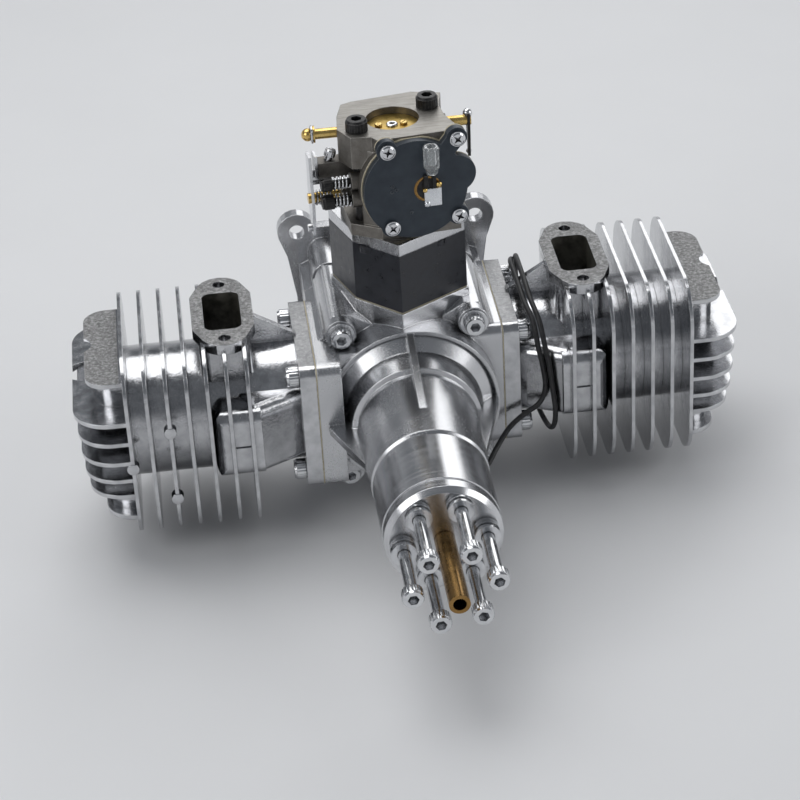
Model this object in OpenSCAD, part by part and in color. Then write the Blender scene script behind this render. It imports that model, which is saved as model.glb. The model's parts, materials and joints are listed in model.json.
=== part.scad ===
// Flat-twin two-stroke petrol engine for a model aircraft, 38 mm stroke, top-mounted carburettor.
// Shapes are drawn about the crank axis: +X right, +Y to the rear, +Z up, the propeller facing -Y.
// place() then moves them so that the origin is the centre of the rear mounting face.

/* [Crankcase] */
// Crank centre to the rear mounting face
crank_to_mount = 56; // [54:0.5:62]
// Half the fore-and-aft stagger between the two cylinders
cyl_offset = 9.56; // [9.2:0.02:10.2]
// Crank axis to the machined face that a cylinder sits on
case_half_w = 38.7; // [38:0.1:40]
// Outer radius of the crankcase drum
drum_r = 35.6; // [35:0.1:37]
// Radius of the crank chamber
chamber_r = 30.5; // [30:0.1:31]
// Y of the joint between the front and rear castings
split_y = 27; // [26.5:0.1:28]
// Clearance between seated parts
seat_gap = 0.15; // [0.1:0.01:0.2]
// Radius of the nose where it leaves the drum
nose_r = 25; // [24.6:0.1:26]
// Radius of the nose at its front end
nose_end_r = 23.4; // [23:0.1:24]
// Y of the front end of the nose
nose_end_y = -86.3; // [-88:0.1:-86]
// Height of the pad that carries the intake
pad_z = 42; // [41:0.1:43]
// Thickness of the strengthening webs on the nose
web_rib_t = 3; // [2:0.1:4]

/* [Rear mount] */
// Distance between mounting holes across the engine
mount_w = 76.4; // [74:0.2:78]
// Distance between mounting holes in height
mount_h = 85.6; // [84:0.2:88]
// Radius of a mounting hole
mount_hole_r = 3.25; // [2.7:0.05:3.5]
// Thickness of the mounting ears
ear_t = 5.5; // [4.5:0.1:7]
// Radius of the end of an ear
ear_r = 8.2; // [7.5:0.1:9]

/* [Cylinders] */
// Cylinder bore radius
bore_r = 21.5; // [21:0.1:22]
// Outer radius of the barrel
barrel_r = 26.6; // [26:0.1:27.5]
// Thickness of the base gasket
gasket_t = 0.5; // [0.3:0.1:0.8]
// Length of the base flange along the crank axis
flange_len = 61.2; // [60:0.2:63]
// Height of the base flange
flange_h = 56; // [55:0.2:58]
// Thickness of the base flange
flange_t = 6.5; // [5:0.1:7.5]
// Spacing of the base screws along the crank axis
base_bolt_y = 47; // [46:0.2:49]
// Spacing of the base screws in height
base_bolt_z = 44; // [43:0.2:45]
// Crank axis to the centre of the innermost fin
first_fin_x = 66.5; // [66:0.1:68]
// Distance from one fin to the next
fin_pitch = 8.08; // [7.8:0.02:8.3]
// Thickness of a barrel fin
fin_t = 1.5; // [1.2:0.1:1.8]
// Length of a barrel fin along the crank axis
fin_len = 82; // [80:0.5:84]
// Height of a barrel fin
fin_h = 80; // [79:0.5:82]
// Corner radius of a barrel fin
fin_corner_r = 17; // [14:0.5:18]
// Cylinder axis to the outer face of the transfer passages' bulges
bulge_y = 37.5; // [36:0.1:38.5]
// Cylinder axis to that face where it meets the foot
bulge_foot_y = 26.4; // [25:0.1:28]
// Half the height of the bulges
bulge_z = 15.5; // [14:0.1:17]
// Edge radius of the bulges
bulge_edge_r = 6; // [5:0.1:7]
// Crank axis to the outer end of the head
head_x = 135; // [133:0.5:137]
// Thickness of a head fin
head_fin_t = 1.8; // [1.4:0.1:2.2]
// Height of the rough pad on top of the head
head_pad_z = 31; // [30:0.1:32]

/* [Exhaust] */
// Crank axis to the centre of the exhaust port
port_x = 73.7; // [73:0.1:75]
// Height of the exhaust flange's face
port_z = 42.2; // [41.5:0.1:43.5]
// Length of the exhaust flange
port_flange_len = 56; // [54:0.5:58]
// Width of the exhaust flange
port_flange_w = 25; // [24:0.2:26]
// Thickness of the exhaust flange
port_flange_t = 4.5; // [4:0.1:5]
// Length of the exhaust port
port_len = 30; // [28:0.2:31]
// Width of the exhaust port
port_w = 15; // [14:0.2:16]
// Distance between the exhaust flange's holes
port_bolt_pitch = 44; // [43:0.2:45]
// Radius of the exhaust flange's tapped holes
port_hole_r = 2.5; // [2:0.1:2.6]

/* [Spark plug] */
// Radius of the tapped hole for the spark plug
plug_r = 5; // [4.5:0.1:5]
// Radius of the well around the spark plug
well_r = 8.5; // [8:0.1:9.5]
// Length of the spark plug's thread
plug_thread = 11; // [10:0.1:12.7]
// Tilt of the spark plug above the cylinder axis
plug_tilt = 40; // [38:0.5:42]

/* [Crank train] */
// Half the piston's stroke
throw = 19; // [18.6:0.1:19.2]
// Connecting rod length between centres
rod_len = 65; // [64.6:0.1:65.4]
// Width of a connecting rod's big end
rod_w = 8; // [7.6:0.1:8.2]
// Side clearance of a big end
rod_gap = 0.5; // [0.3:0.05:0.6]
// Radius of a crankpin
crankpin_r = 6.5; // [6:0.1:7]
// Radius of the wrist pins
wrist_r = 5; // [4.5:0.1:5.2]
// Radius of a rod's needle bearing at the crankpin
big_needle_r = 8.6; // [8.4:0.1:9]
// Radius of a rod's needle bearing at the wrist pin
small_needle_r = 6.6; // [6.4:0.1:7]
// Radius of a crank web
crank_web_r = 29; // [28:0.1:29.4]
// Thickness of the outer crank webs
crank_web_t = 9; // [8.5:0.1:9.2]
// Running clearance of the piston in its bore
piston_gap = 0.08; // [0.05:0.01:0.1]
// Wrist pin to piston crown
crown_h = 18; // [17.5:0.1:18.4]
// Length of the skirt below the wrist pin
skirt_l = 13.5; // [12:0.1:14]
// Radius of the shaft at the two inner bearings
shaft_r = 8.5; // [8:0.1:8.8]
// Radius of the shaft at the front bearing
nose_shaft_r = 7.5; // [7:0.1:7.8]
// Running clearance of shafts in bearings
run_gap = 0.05; // [0.03:0.01:0.08]

/* [Propeller hub] */
// Radius of the propeller driver
hub_r = 23; // [22:0.1:23.2]
// Y of the driver's rear end
hub_rear_y = -86.9; // [-88.5:0.1:-86.8]
// Y of the driver's front face
hub_face_y = -126; // [-128:0.2:-124]
// Diameter of the circle of propeller screws
prop_pcd = 32; // [31:0.1:33]
// Number of propeller screws
prop_screw_count = 6; // [4:1:6]
// Turn of the propeller screws about the crank axis
hub_turn = -7; // [-15:0.5:15]
// How far a propeller screw's head stands in front of the driver
prop_screw_out = 33.3; // [30:0.1:36]
// Outer radius of the centre sleeve
sleeve_r = 4; // [3.8:0.05:4.5]
// Length of the centre sleeve in front of the driver
sleeve_out = 41.5; // [38:0.5:45]
// How deep the centre sleeve sits in the driver
sleeve_in = 20.8; // [18:0.1:22]

/* [Intake] */
// Height of the insulating spacer
spacer_h = 25.4; // [24:0.1:27]
// Thickness of the intake gasket
intake_gasket_t = 0.5; // [0.3:0.1:0.8]
// Thickness of the adapter plate under the carburettor
plate_t = 5; // [4:0.1:6]
// Turn of the carburettor about its bore
carb_turn = 6; // [4:0.5:8]
// Height of the carburettor body
carb_h = 43.4; // [42:0.1:45]
// Radius of the carburettor bore
carb_bore_r = 10.6; // [10:0.1:11]
// Radius of the throttle and choke shafts
butterfly_shaft_r = 2.1; // [1.9:0.05:2.3]
// Height of the throttle shaft above the adapter plate
throttle_h = 13.6; // [13:0.1:14.5]
// Height of the choke shaft above the adapter plate
choke_h = 39.6; // [39:0.1:40]
// Radius of the round front cover
cover_r = 21.2; // [20.8:0.1:21.6]
// Thickness of the front cover
cover_t = 3; // [2.5:0.1:4]

/* [Hidden] */
$fn = 64;

cyl_face_x = case_half_w + gasket_t;
flange_out_x = cyl_face_x + flange_t;
last_fin_x = first_fin_x + 6 * fin_pitch;
wrist_x = throw + rod_len;
crown_x = wrist_x + crown_h;
squish_x = crown_x + 1.2;
dome_h = 6.5;
spigot_r = bore_r + 2.6;
bulge_slant = 27.5;
bulge_deep = 20;
bulge_mid_x = first_fin_x - 4.1;
slant_l = (bulge_mid_x - flange_out_x) / cos(bulge_slant);
bulge_end_x = first_fin_x + 1.5 * fin_pitch + 3.1;
rod_plane = cyl_offset;
mid_web_half = rod_plane - rod_w / 2 - rod_gap;
outer_web_in = rod_plane + rod_w / 2 + rod_gap;
outer_web_out = outer_web_in + crank_web_t;
chamber_front_y = -outer_web_out - 0.7;
chamber_rear_y = outer_web_out + 1.2;
plug_relief = 6;
sleeve_seat_r = sleeve_r - 0.4;
sleeve_relief = 0.5;
front_bearing_y = nose_end_y + 12.3;
front_bearing_r = nose_r - 7.5;
front_bearing_w = 11;
rim_t = 1.5;
wall_in_x = 29;
drum_front_y = -29;
case_ear_r = 6.4;
seal_y = front_bearing_y + 8;
seal_w = 6;
crank_end_y = hub_rear_y - 17.1;
case_screw_x = 27.1;
case_screw_z = 32.4;
cap_head_r = 4.25;
cap_head_h = 5;
intake_floor_z = pad_z + intake_gasket_t;
plate_z = intake_floor_z + spacer_h;
carb_z = plate_z + plate_t;
carb_top_z = carb_z + carb_h;
throttle_z = carb_z + throttle_h;
choke_z = carb_z + choke_h;
carb_x = 0.5;
carb_y = -1.5;
magnet_r = 2;
carb_screw_x = 15.6;
carb_screw_y = 6.4;

// Points of an arc about (cx, cy), from angle a0 to a1, in n steps
function arc(cx, cy, r, a0, a1, n = 6) =
    [for (i = [0 : n]) [cx + r * cos(a0 + (a1 - a0) * i / n), cy + r * sin(a0 + (a1 - a0) * i / n)]];

// Moves a shape drawn about the crank axis into the engine's frame
module place() {
    translate([0, -crank_to_mount, 0]) children();
}

// Turns a profile so that its X and Y run along Y and Z, and its height along +X from x
module from_x(x) {
    translate([x, 0, 0]) rotate([90, 0, 90]) children();
}

// Turns a profile so that its X and Y run along X and Z, and its height towards the front from y
module from_y(y) {
    translate([0, y, 0]) rotate([90, 0, 0]) children();
}

// Cylinder along the crank axis, from y0 forwards to y1
module drum(r, y0, y1) {
    from_y(y0) cylinder(r = r, h = y0 - y1);
}

// Cylinder along X from x0 to x1
module rod_x(r, x0, x1) {
    from_x(x0) cylinder(r = r, h = x1 - x0);
}

// Rectangle with round corners, centred
module round_rect(w, h, r) {
    square([w - 2 * r, h], center = true);
    square([w, h - 2 * r], center = true);
    for (sx = [-1, 1], sy = [-1, 1])
        translate([sx * (w / 2 - r), sy * (h / 2 - r)]) circle(r = r);
}

// Round bar with a hexagonal socket, standing on z = 0 under its head
module cap_screw(head_r, head_h, shank_r, shank_len, socket_r) {
    difference() {
        union() {
            cylinder(r = head_r, h = head_h);
            translate([0, 0, -shank_len]) cylinder(r = shank_r, h = shank_len + 0.5);
        }
        translate([0, 0, head_h * 0.45]) cylinder(r = socket_r, h = head_h, $fn = 6);
    }
}

module ring(r_out, r_in, h) {
    difference() {
        cylinder(r = r_out, h = h);
        translate([0, 0, -1]) cylinder(r = r_in, h = h + 2);
    }
}

// Crankcase

spacer_corners = [[-26.5, 12], [-19, -10], [-2, -27], [26.5, -9.5], [26.5, 12], [12, 26], [-14, 26]];

// Outline of the intake's parts, grown by g all round
module intake_outline(g = 0) {
    mid = [0, 0];
    k = 1 + g / 27;
    polygon([for (p = spacer_corners) [mid[0] + (p[0] - mid[0]) * k, mid[1] + (p[1] - mid[1]) * k]]);
}

module nose_profile() {
    polygon([[0, 26], [drum_r - rim_t - 0.4, 26], [drum_r - rim_t - 0.4, 29.4], [28.2, 33.8], [26.4, 43.8], [24.4, 44.6], [24.2, 47],
        [nose_r, 47.9], [nose_end_r, -nose_end_y - 1], [nose_end_r - 1, -nose_end_y], [0, -nose_end_y]]);
}

// Side blocks that carry the cylinders' feet
module case_side(sx) {
    y_mid = sx * cyl_offset;
    translate([0, y_mid, 0]) from_x(sx > 0 ? 18 : -case_half_w)
        linear_extrude(case_half_w - 18) round_rect(flange_len, flange_h, 5);
}

// Flanks that join the screws' ears to the drum and the side blocks
module shoulders(y0, y1) {
    for (sx = [0, 1], sz = [0, 1]) mirror([sx, 0, 0]) mirror([0, 0, sz]) from_y(y0) linear_extrude(y0 - y1)
        polygon([[14, 14], [case_half_w - 0.5, 14], [case_half_w - 0.5, 27], [case_screw_x + 7, 29],
            [case_screw_x + 7, case_screw_z], [case_screw_x + 3, case_screw_z + 6.2],
            [case_screw_x - 3, case_screw_z + 6.4], [14, 33]]);
}

// Machined faces that the cylinders sit on, as two blocks to take away
module side_faces(y0, y1) {
    for (sx = [0, 1]) mirror([sx, 0, 0])
        translate([case_half_w, y0, -40]) cube([20, y1 - y0, 80]);
}

module screw_ears(y0, y1, r) {
    for (sx = [-1, 1], sz = [-1, 1])
        translate([sx * case_screw_x, 0, sz * case_screw_z]) drum(r, y0, y1);
}

module front_case() {
    color([0.78, 0.79, 0.8]) place() difference() {
        union() {
            drum(drum_r, split_y, drum_front_y);
            intersection() {
                case_side(1);
                translate([-60, -60, -60]) cube([120, 60 + split_y, 120]);
            }
            intersection() {
                case_side(-1);
                union() {
                    translate([-60, drum_front_y - 1, -60]) cube([60, split_y - drum_front_y + 1, 120]);
                    translate([-60, -60, -60]) cube([60 - wall_in_x, 60 + split_y, 120]);
                }
            }
            rim();
            rotate([90, 0, 0]) rotate_extrude() nose_profile();
            nose_webs();
            screw_ears(split_y, -22, case_ear_r);
            shoulders(split_y, -17);
            intake_pad();
        }
        drum(chamber_r, split_y + 1, chamber_front_y);
        side_faces(-60, split_y + 1);
        crank_bores();
        spigot_holes();
        reed_hole();
        for (sx = [-1, 1], sz = [-1, 1])
            translate([sx * case_screw_x, 0, sz * case_screw_z]) drum(2.75, split_y + 1, -30);
        base_screw_holes();
        intake_screw_holes();
    }
}

// Raised edge round the front of the drum
module rim() {
    from_y(-26.5) difference() {
        cylinder(r = drum_r, h = 4.5);
        translate([0, 0, -1]) cylinder(r = drum_r - rim_t, h = 7);
    }
}

// Strengthening webs at the top, bottom and both sides of the nose
module nose_webs() {
    tip = 71;
    for (up = [0, 180]) rotate([0, up, 0])
        from_x(-web_rib_t / 2) linear_extrude(web_rib_t)
            polygon([[-29, drum_r - 0.5], [-31, drum_r - 0.5], [-tip, nose_r - 1.2], [-tip, 20], [-29, 20]]);
    from_side_web([[20, -28], [35.2, -28], [34.6, -33], [22.6, -75.6], [20, -75.6]]);
    from_side_web([[-20, -28], [-35.4, -28], [-35.4, -42.2], [-23, -73.5], [-20, -73.5]]);
}

module from_side_web(points) {
    translate([0, 0, -web_rib_t / 2]) linear_extrude(web_rib_t) polygon(points);
}

// Pad that the intake stands on, with sloping sides
module intake_pad() {
    translate([0, 0, 20]) linear_extrude(pad_z - 20) intake_outline(0.6);
}

module crank_bores() {
    drum(20 + run_gap, chamber_front_y + 1, chamber_front_y - 13);
    drum(12, chamber_front_y - 10, front_bearing_y - 1);
    drum(front_bearing_r + run_gap, seal_y + 6, nose_end_y - 1);
}

module spigot_holes() {
    for (sx = [-1, 1]) translate([0, sx * cyl_offset, 0])
        rod_x(spigot_r + seat_gap, sx > 0 ? 15 : -50, sx > 0 ? 50 : -15);
}

module reed_hole() {
    translate([0, 0, 15]) linear_extrude(40) translate([carb_x, carb_y]) square([26, 22], center = true);
}

module base_screw_holes() {
    for (sx = [-1, 1], sy = [-1, 1], sz = [-1, 1])
        translate([0, sx * cyl_offset + sy * base_bolt_y / 2, sz * base_bolt_z / 2])
            rod_x(2.5, sx > 0 ? case_half_w - 11 : -50, sx > 0 ? 50 : 11 - case_half_w);
}

module intake_screw_holes() {
    translate([carb_x, carb_y, pad_z - 8]) rotate([0, 0, carb_turn])
        for (s = [-1, 1]) translate([s * carb_screw_x, s * carb_screw_y, 0]) cylinder(r = 2.5, h = 10);
}

// Half of the rear mounting plate's outline, on the right
function mount_side() = concat(
    [[25, 44.3]],
    arc(mount_w / 2, mount_h / 2, ear_r, 170, -15, 10),
    [[42.9, 31.5], [40, 11]]);

module mount_outline() {
    right = mount_side();
    down = [for (i = [len(right) - 1 : -1 : 0]) [right[i][0], -right[i][1]]];
    side = concat(right, down);
    back = [for (i = [len(side) - 1 : -1 : 0]) [-side[i][0], side[i][1]]];
    polygon(concat(side, back));
}

module rear_case() {
    color([0.76, 0.77, 0.78]) place() difference() {
        union() {
            drum(drum_r, crank_to_mount - ear_t + 0.5, split_y);
            intersection() {
                case_side(1);
                translate([0, split_y, -60]) cube([60, 60, 120]);
            }
            drum(chamber_r - seat_gap, split_y + 1, chamber_rear_y);
            screw_ears(crank_to_mount - ear_t + 0.5, split_y, 7);
            shoulders(crank_to_mount - ear_t + 0.5, split_y);
            from_y(crank_to_mount) linear_extrude(ear_t) mount_outline();
            for (sx = [-1, 1], sz = [-1, 1]) ear_web(sx, sz);
        }
        drum(20 + run_gap, chamber_rear_y + 13, chamber_rear_y - 1);
        drum(12, 46, 30);
        side_faces(split_y - 1, crank_to_mount - ear_t - 2);
        spigot_holes();
        for (sx = [-1, 1], sz = [-1, 1]) {
            translate([sx * mount_w / 2, 0, sz * mount_h / 2]) drum(mount_hole_r, 60, 40);
            translate([sx * case_screw_x, 0, sz * case_screw_z]) drum(2.5, 45, 0);
        }
        base_screw_holes();
        rear_recess();
    }
}

// Web that stiffens an ear against the drum
module ear_web(sx, sz) {
    translate([sx * (mount_w / 2 - 7.5) - 1.5, 0, 0]) from_x(0) linear_extrude(3)
        polygon([[28, sz * 18], [28, sz * 26], [crank_to_mount - 1, sz * 40], [crank_to_mount - 1, sz * 18]]);
}

module rear_recess() {
    drum(25, 60, crank_to_mount - 3);
}

module case_screws() {
    color([0.75, 0.76, 0.78]) place()
        for (sx = [-1, 1], sz = [-1, 1])
            translate([sx * case_screw_x, -22, sz * case_screw_z]) rotate([90, 0, 0])
                cap_screw(cap_head_r, cap_head_h, 2.4, 62, 2);
}

// Bearings: an outer and an inner ring with balls between them

module ball_bearing(r_out, r_in, w, balls) {
    mid = (r_out + r_in) / 2;
    ball_r = (r_out - r_in) * 0.28;
    race = 0.12 + ball_r * 0.62;
    ring(r_out, mid + race, w);
    ring(mid - race, r_in, w);
    for (i = [0 : balls - 1]) rotate([0, 0, 360 * i / balls])
        translate([mid, 0, w / 2]) sphere(r = ball_r * 0.6);
}

module front_bearing() {
    color([0.7, 0.71, 0.73]) place() from_y(front_bearing_y)
        ball_bearing(front_bearing_r, nose_shaft_r + run_gap, front_bearing_w, 8);
}

module middle_bearing() {
    color([0.7, 0.71, 0.73]) place() from_y(chamber_front_y - 0.5)
        ball_bearing(20, shaft_r + run_gap, 12, 9);
}

module rear_bearing() {
    color([0.7, 0.71, 0.73]) place() from_y(chamber_rear_y + 12.5)
        ball_bearing(20, shaft_r + run_gap, 12, 9);
}

module oil_seal() {
    color([0.1, 0.1, 0.1]) place() from_y(seal_y) ring(front_bearing_r, shaft_r + 0.3, seal_w);
}

// Cylinders, drawn on the +X side about the cylinder axis

module on_right() {
    place() translate([0, cyl_offset, 0]) children();
}

module on_left() {
    place() translate([0, -cyl_offset, 0]) mirror([1, 0, 0]) children();
}

module head_plate(z, t, half_y, x_out, r) {
    x0 = last_fin_x - 0.5;
    translate([0, 0, z - t / 2]) linear_extrude(t) intersection() {
        translate([x_out - 60, -half_y]) union() {
            translate([0, r]) square([60, 2 * half_y - 2 * r]);
            square([60 - r, 2 * half_y]);
            for (y = [r, 2 * half_y - r]) translate([60 - r, y]) circle(r = r);
        }
        translate([x0, -60]) square([60, 120]);
    }
}

module cylinder_solid() {
    from_x(cyl_face_x) linear_extrude(flange_t) round_rect(flange_len, flange_h, 5);
    rod_x(spigot_r, cyl_face_x - 8, cyl_face_x + 1);
    rod_x(barrel_r, flange_out_x - 1, last_fin_x + 1);
    for (i = [0 : 6]) from_x(first_fin_x + i * fin_pitch - fin_t / 2)
        linear_extrude(fin_t) round_rect(fin_len, fin_h, fin_corner_r);
    transfer_bulges();
    top_web();
    exhaust_duct();
    head();
}

// Bulges over the transfer passages, front and rear: a part that slants outwards from the foot,
// and a straight part past the first fin with a rounded end
module transfer_bulges() {
    for (side = [0, 1]) mirror([0, side, 0]) {
        translate([flange_out_x, -bulge_foot_y, 0]) rotate([0, 0, -bulge_slant])
            translate([-3, bulge_deep / 2, 0]) from_x(0)
                linear_extrude(slant_l + 4) round_rect(bulge_deep, 2 * bulge_z, bulge_edge_r - 1);
        intersection() {
            translate([bulge_mid_x, -bulge_y + bulge_deep / 2, 0]) from_x(0)
                linear_extrude(bulge_end_x - bulge_mid_x)
                    round_rect(bulge_deep, 2 * bulge_z - 1, bulge_edge_r);
            translate([0, 0, -30]) linear_extrude(60) bulge_plan();
            rotate([90, 0, 0]) linear_extrude(60) bulge_side();
        }
    }
}

// Rounded end of a bulge, seen from above
module bulge_plan() {
    r = bulge_edge_r;
    polygon(concat([[bulge_mid_x - 1, 0], [bulge_mid_x - 1, -bulge_y - 2]],
        arc(bulge_end_x - r, r - bulge_y, r + 0.3, -90, 0), [[bulge_end_x + 0.3, 0]]));
}

// Rounded end of a bulge, seen from the front
module bulge_side() {
    r = bulge_edge_r;
    h = bulge_z - 0.5;
    polygon(concat([[bulge_mid_x - 1, h + 2], [bulge_mid_x - 1, -h - 2]],
        arc(bulge_end_x - r, r - h, r + 0.3, -90, 0), arc(bulge_end_x - r, h - r, r + 0.3, 0, 90)));
}

// Web from the exhaust duct down to the foot
module top_web() {
    translate([0, 1.5, 0]) rotate([90, 0, 0]) linear_extrude(3)
        polygon([[flange_out_x - 1, 20], [flange_out_x - 1, 29], [port_x - 11, 40], [port_x - 8, 40], [port_x - 8, 20]]);
}

module exhaust_duct() {
    translate([port_x, 0, 20]) linear_extrude(port_z - port_flange_t - 19.5)
        round_rect(port_w + 6, port_len + 6, 4);
    translate([port_x, 0, port_z - port_flange_t]) linear_extrude(port_flange_t) exhaust_outline();
}

module exhaust_outline() {
    w = port_flange_w / 2;
    l = port_flange_len / 2;
    polygon(concat([[w, -l + 15], [w, l - 15]], arc(0, l - 9.5, 9.5, 25, 155, 6),
        [[-w, l - 15], [-w, -l + 15]], arc(0, 9.5 - l, 9.5, 205, 335, 6)));
}

module head() {
    rod_x(25, last_fin_x - 1, head_x - 7);
    head_plate((head_pad_z + 17.1) / 2, head_pad_z - 17.1 - 1, 27.5, head_x - 7.5, 9);
    head_plate(head_pad_z - 1, 2, 30.3, head_x - 4.5, 9);
    head_plate(18, head_fin_t, 41, head_x + 1.5, 15);
    head_plate(9, head_fin_t, 41, head_x + 0.5, 14);
    head_plate(0, head_fin_t, 41, head_x, 14);
    head_plate(-9, head_fin_t, 39.6, head_x - 0.5, 14);
    head_plate(-18, head_fin_t, 37, head_x - 1.5, 14);
    head_plate(-25, 13, 27.5, head_x - 9.5, 9);
    head_plate(-31, 2, 33, head_x - 7, 12);
}

module cylinder_cuts() {
    rod_x(bore_r, cyl_face_x - 9, squish_x);
    translate([squish_x, 0, 0]) rotate([0, 90, 0]) rotate_extrude()
        polygon([[0, -1], [17, -1], [17, 0], [14.5, dome_h * 0.55], [9, dome_h * 0.9], [0, dome_h]]);
    translate([port_x, 0, 10]) linear_extrude(50) round_rect(port_w, port_len, 3.5);
    for (s = [-1, 1]) translate([port_x, s * port_bolt_pitch / 2, port_z - 9])
        cylinder(r = port_hole_r, h = 10);
    for (sy = [-1, 1], sz = [-1, 1]) translate([0, sy * base_bolt_y / 2, sz * base_bolt_z / 2]) {
        rod_x(2.75, cyl_face_x - 1, flange_out_x + 1);
        rod_x(5.5, flange_out_x, first_fin_x - fin_t / 2 - 1);
    }
    translate([first_fin_x + fin_t / 2 + 0.3, -bulge_y - 1, -0.4]) cube([fin_pitch - fin_t - 0.6, 1.8, 0.8]);
    plug_hole();
}

// Tapped hole and round well for the spark plug, leaning outwards and up
module plug_hole() {
    translate([squish_x + 3, 3, 2]) rotate([0, 90 - plug_tilt, 0]) {
        cylinder(r = plug_r, h = 40);
        cylinder(r = plug_r + 1, h = plug_relief);
        translate([0, 0, plug_relief + plug_thread]) cylinder(r = well_r, h = 40);
    }
}

module cylinder_body() {
    difference() {
        cylinder_solid();
        cylinder_cuts();
    }
}

module left_cylinder() {
    color([0.82, 0.83, 0.84]) on_left() cylinder_body();
}

module right_cylinder() {
    color([0.82, 0.83, 0.84]) on_right() cylinder_body();
}

module base_gasket() {
    from_x(case_half_w) linear_extrude(gasket_t) difference() {
        round_rect(flange_len, flange_h, 5);
        circle(r = spigot_r + seat_gap);
        for (sy = [-1, 1], sz = [-1, 1])
            translate([sy * base_bolt_y / 2, sz * base_bolt_z / 2]) circle(r = 2.75);
    }
}

module left_gasket() {
    color([0.75, 0.7, 0.5]) on_left() base_gasket();
}

module right_gasket() {
    color([0.75, 0.7, 0.5]) on_right() base_gasket();
}

module base_screws() {
    for (sy = [-1, 1], sz = [-1, 1])
        translate([flange_out_x, sy * base_bolt_y / 2, sz * base_bolt_z / 2]) rotate([0, 90, 0])
            cap_screw(cap_head_r, cap_head_h, 2.4, flange_t + gasket_t + 9, 2);
}

module left_cylinder_screws() {
    color([0.8, 0.8, 0.82]) on_left() base_screws();
}

module right_cylinder_screws() {
    color([0.8, 0.8, 0.82]) on_right() base_screws();
}

// Piston at the top of its stroke, with two ring grooves and a hollow skirt

piston_r = bore_r - piston_gap;

module piston() {
    difference() {
        rod_x(piston_r, wrist_x - skirt_l, crown_x);
        rod_x(piston_r - 2.5, wrist_x - 20, crown_x - 5);
        for (i = [0, 1]) from_x(crown_x - 4.5 - 4 * i) ring(piston_r + 1, piston_r - 2, 1.6);
        translate([wrist_x, 0, 0]) drum(wrist_r + 0.02, 30, -30);
    }
    for (s = [-1, 1]) difference() {
        translate([wrist_x, s * 14.5, 0]) rotate([90, 0, 0]) cylinder(r = wrist_r + 3.5, h = 9, center = true);
        translate([wrist_x, 0, 0]) drum(wrist_r + 0.02, 30, -30);
    }
}

module piston_rings() {
    for (i = [0, 1]) from_x(crown_x - 4.5 - 4 * i + 0.05) ring(bore_r - 0.03, piston_r - 1.9, 1.5);
}

module wrist_pin() {
    translate([wrist_x, 0, 0]) from_y(18.5) ring(wrist_r, wrist_r - 2, 37);
}

module connecting_rod() {
    difference() {
        union() {
            translate([throw, rod_w / 2, 0]) rotate([90, 0, 0]) cylinder(r = big_needle_r + 3.4, h = rod_w);
            translate([wrist_x, rod_w / 2, 0]) rotate([90, 0, 0]) cylinder(r = small_needle_r + 2.6, h = rod_w);
            translate([0, 3, 0]) rotate([90, 0, 0]) linear_extrude(6)
                polygon([[throw, -8], [wrist_x, -5.5], [wrist_x, 5.5], [throw, 8]]);
        }
        translate([throw, 0, 0]) drum(big_needle_r + 0.03, 10, -10);
        translate([wrist_x, 0, 0]) drum(small_needle_r + 0.03, 10, -10);
        for (s = [-1, 1]) translate([0, s * 4.2 + 2, 0]) rotate([90, 0, 0]) linear_extrude(4)
            polygon([[throw + 13, -4.2], [wrist_x - 10, -3], [wrist_x - 10, 3], [throw + 13, 4.2]]);
    }
}

module rod_bearings() {
    translate([throw, 0, 0]) from_y(rod_w / 2) ring(big_needle_r, crankpin_r + 0.03, rod_w);
    translate([wrist_x, 0, 0]) from_y(rod_w / 2) ring(small_needle_r, wrist_r + 0.03, rod_w);
}

// Crankpin, which stands clear of the webs' faces
module crankpin() {
    translate([throw, 0, 0]) from_y(rod_w / 2 + rod_gap - 0.2) ring(crankpin_r, 2, rod_w + 2 * rod_gap - 0.4);
}

module left_piston() {
    color([0.72, 0.73, 0.74]) on_left() piston();
}

module right_piston() {
    color([0.72, 0.73, 0.74]) on_right() piston();
}

module left_rings() {
    color([0.4, 0.4, 0.42]) on_left() piston_rings();
}

module right_rings() {
    color([0.4, 0.4, 0.42]) on_right() piston_rings();
}

module left_wrist_pin() {
    color([0.6, 0.6, 0.62]) on_left() wrist_pin();
}

module right_wrist_pin() {
    color([0.6, 0.6, 0.62]) on_right() wrist_pin();
}

module left_rod() {
    color([0.55, 0.55, 0.57]) on_left() connecting_rod();
}

module right_rod() {
    color([0.55, 0.55, 0.57]) on_right() connecting_rod();
}

module left_rod_bearings() {
    color([0.7, 0.7, 0.6]) on_left() rod_bearings();
}

module right_rod_bearings() {
    color([0.7, 0.7, 0.6]) on_right() rod_bearings();
}

module left_crankpin() {
    color([0.6, 0.6, 0.62]) on_left() crankpin();
}

module right_crankpin() {
    color([0.6, 0.6, 0.62]) on_right() crankpin();
}

// Crankshaft: three webs and two journals

module crank_web(y0, y1) {
    difference() {
        drum(crank_web_r, y0, y1);
        for (s = [-1, 1]) translate([0, 0, s * (crank_web_r + 6)]) drum(13, y0 + 1, y1 - 1);
    }
}

module crankshaft() {
    color([0.58, 0.58, 0.6]) place() {
        drum(shaft_r, -outer_web_in - 1, front_bearing_y + 0.5);
        drum(nose_shaft_r, front_bearing_y + 1, crank_end_y);
        drum(11, -outer_web_out + 0.5, chamber_front_y - 0.2);
        crank_web(-outer_web_in, -outer_web_out);
        crank_web(mid_web_half, -mid_web_half);
        crank_web(outer_web_out, outer_web_in);
        drum(11, chamber_rear_y + 0.2, outer_web_out - 0.5);
        drum(shaft_r, chamber_rear_y + 14, outer_web_in + 1);
    }
}

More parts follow.
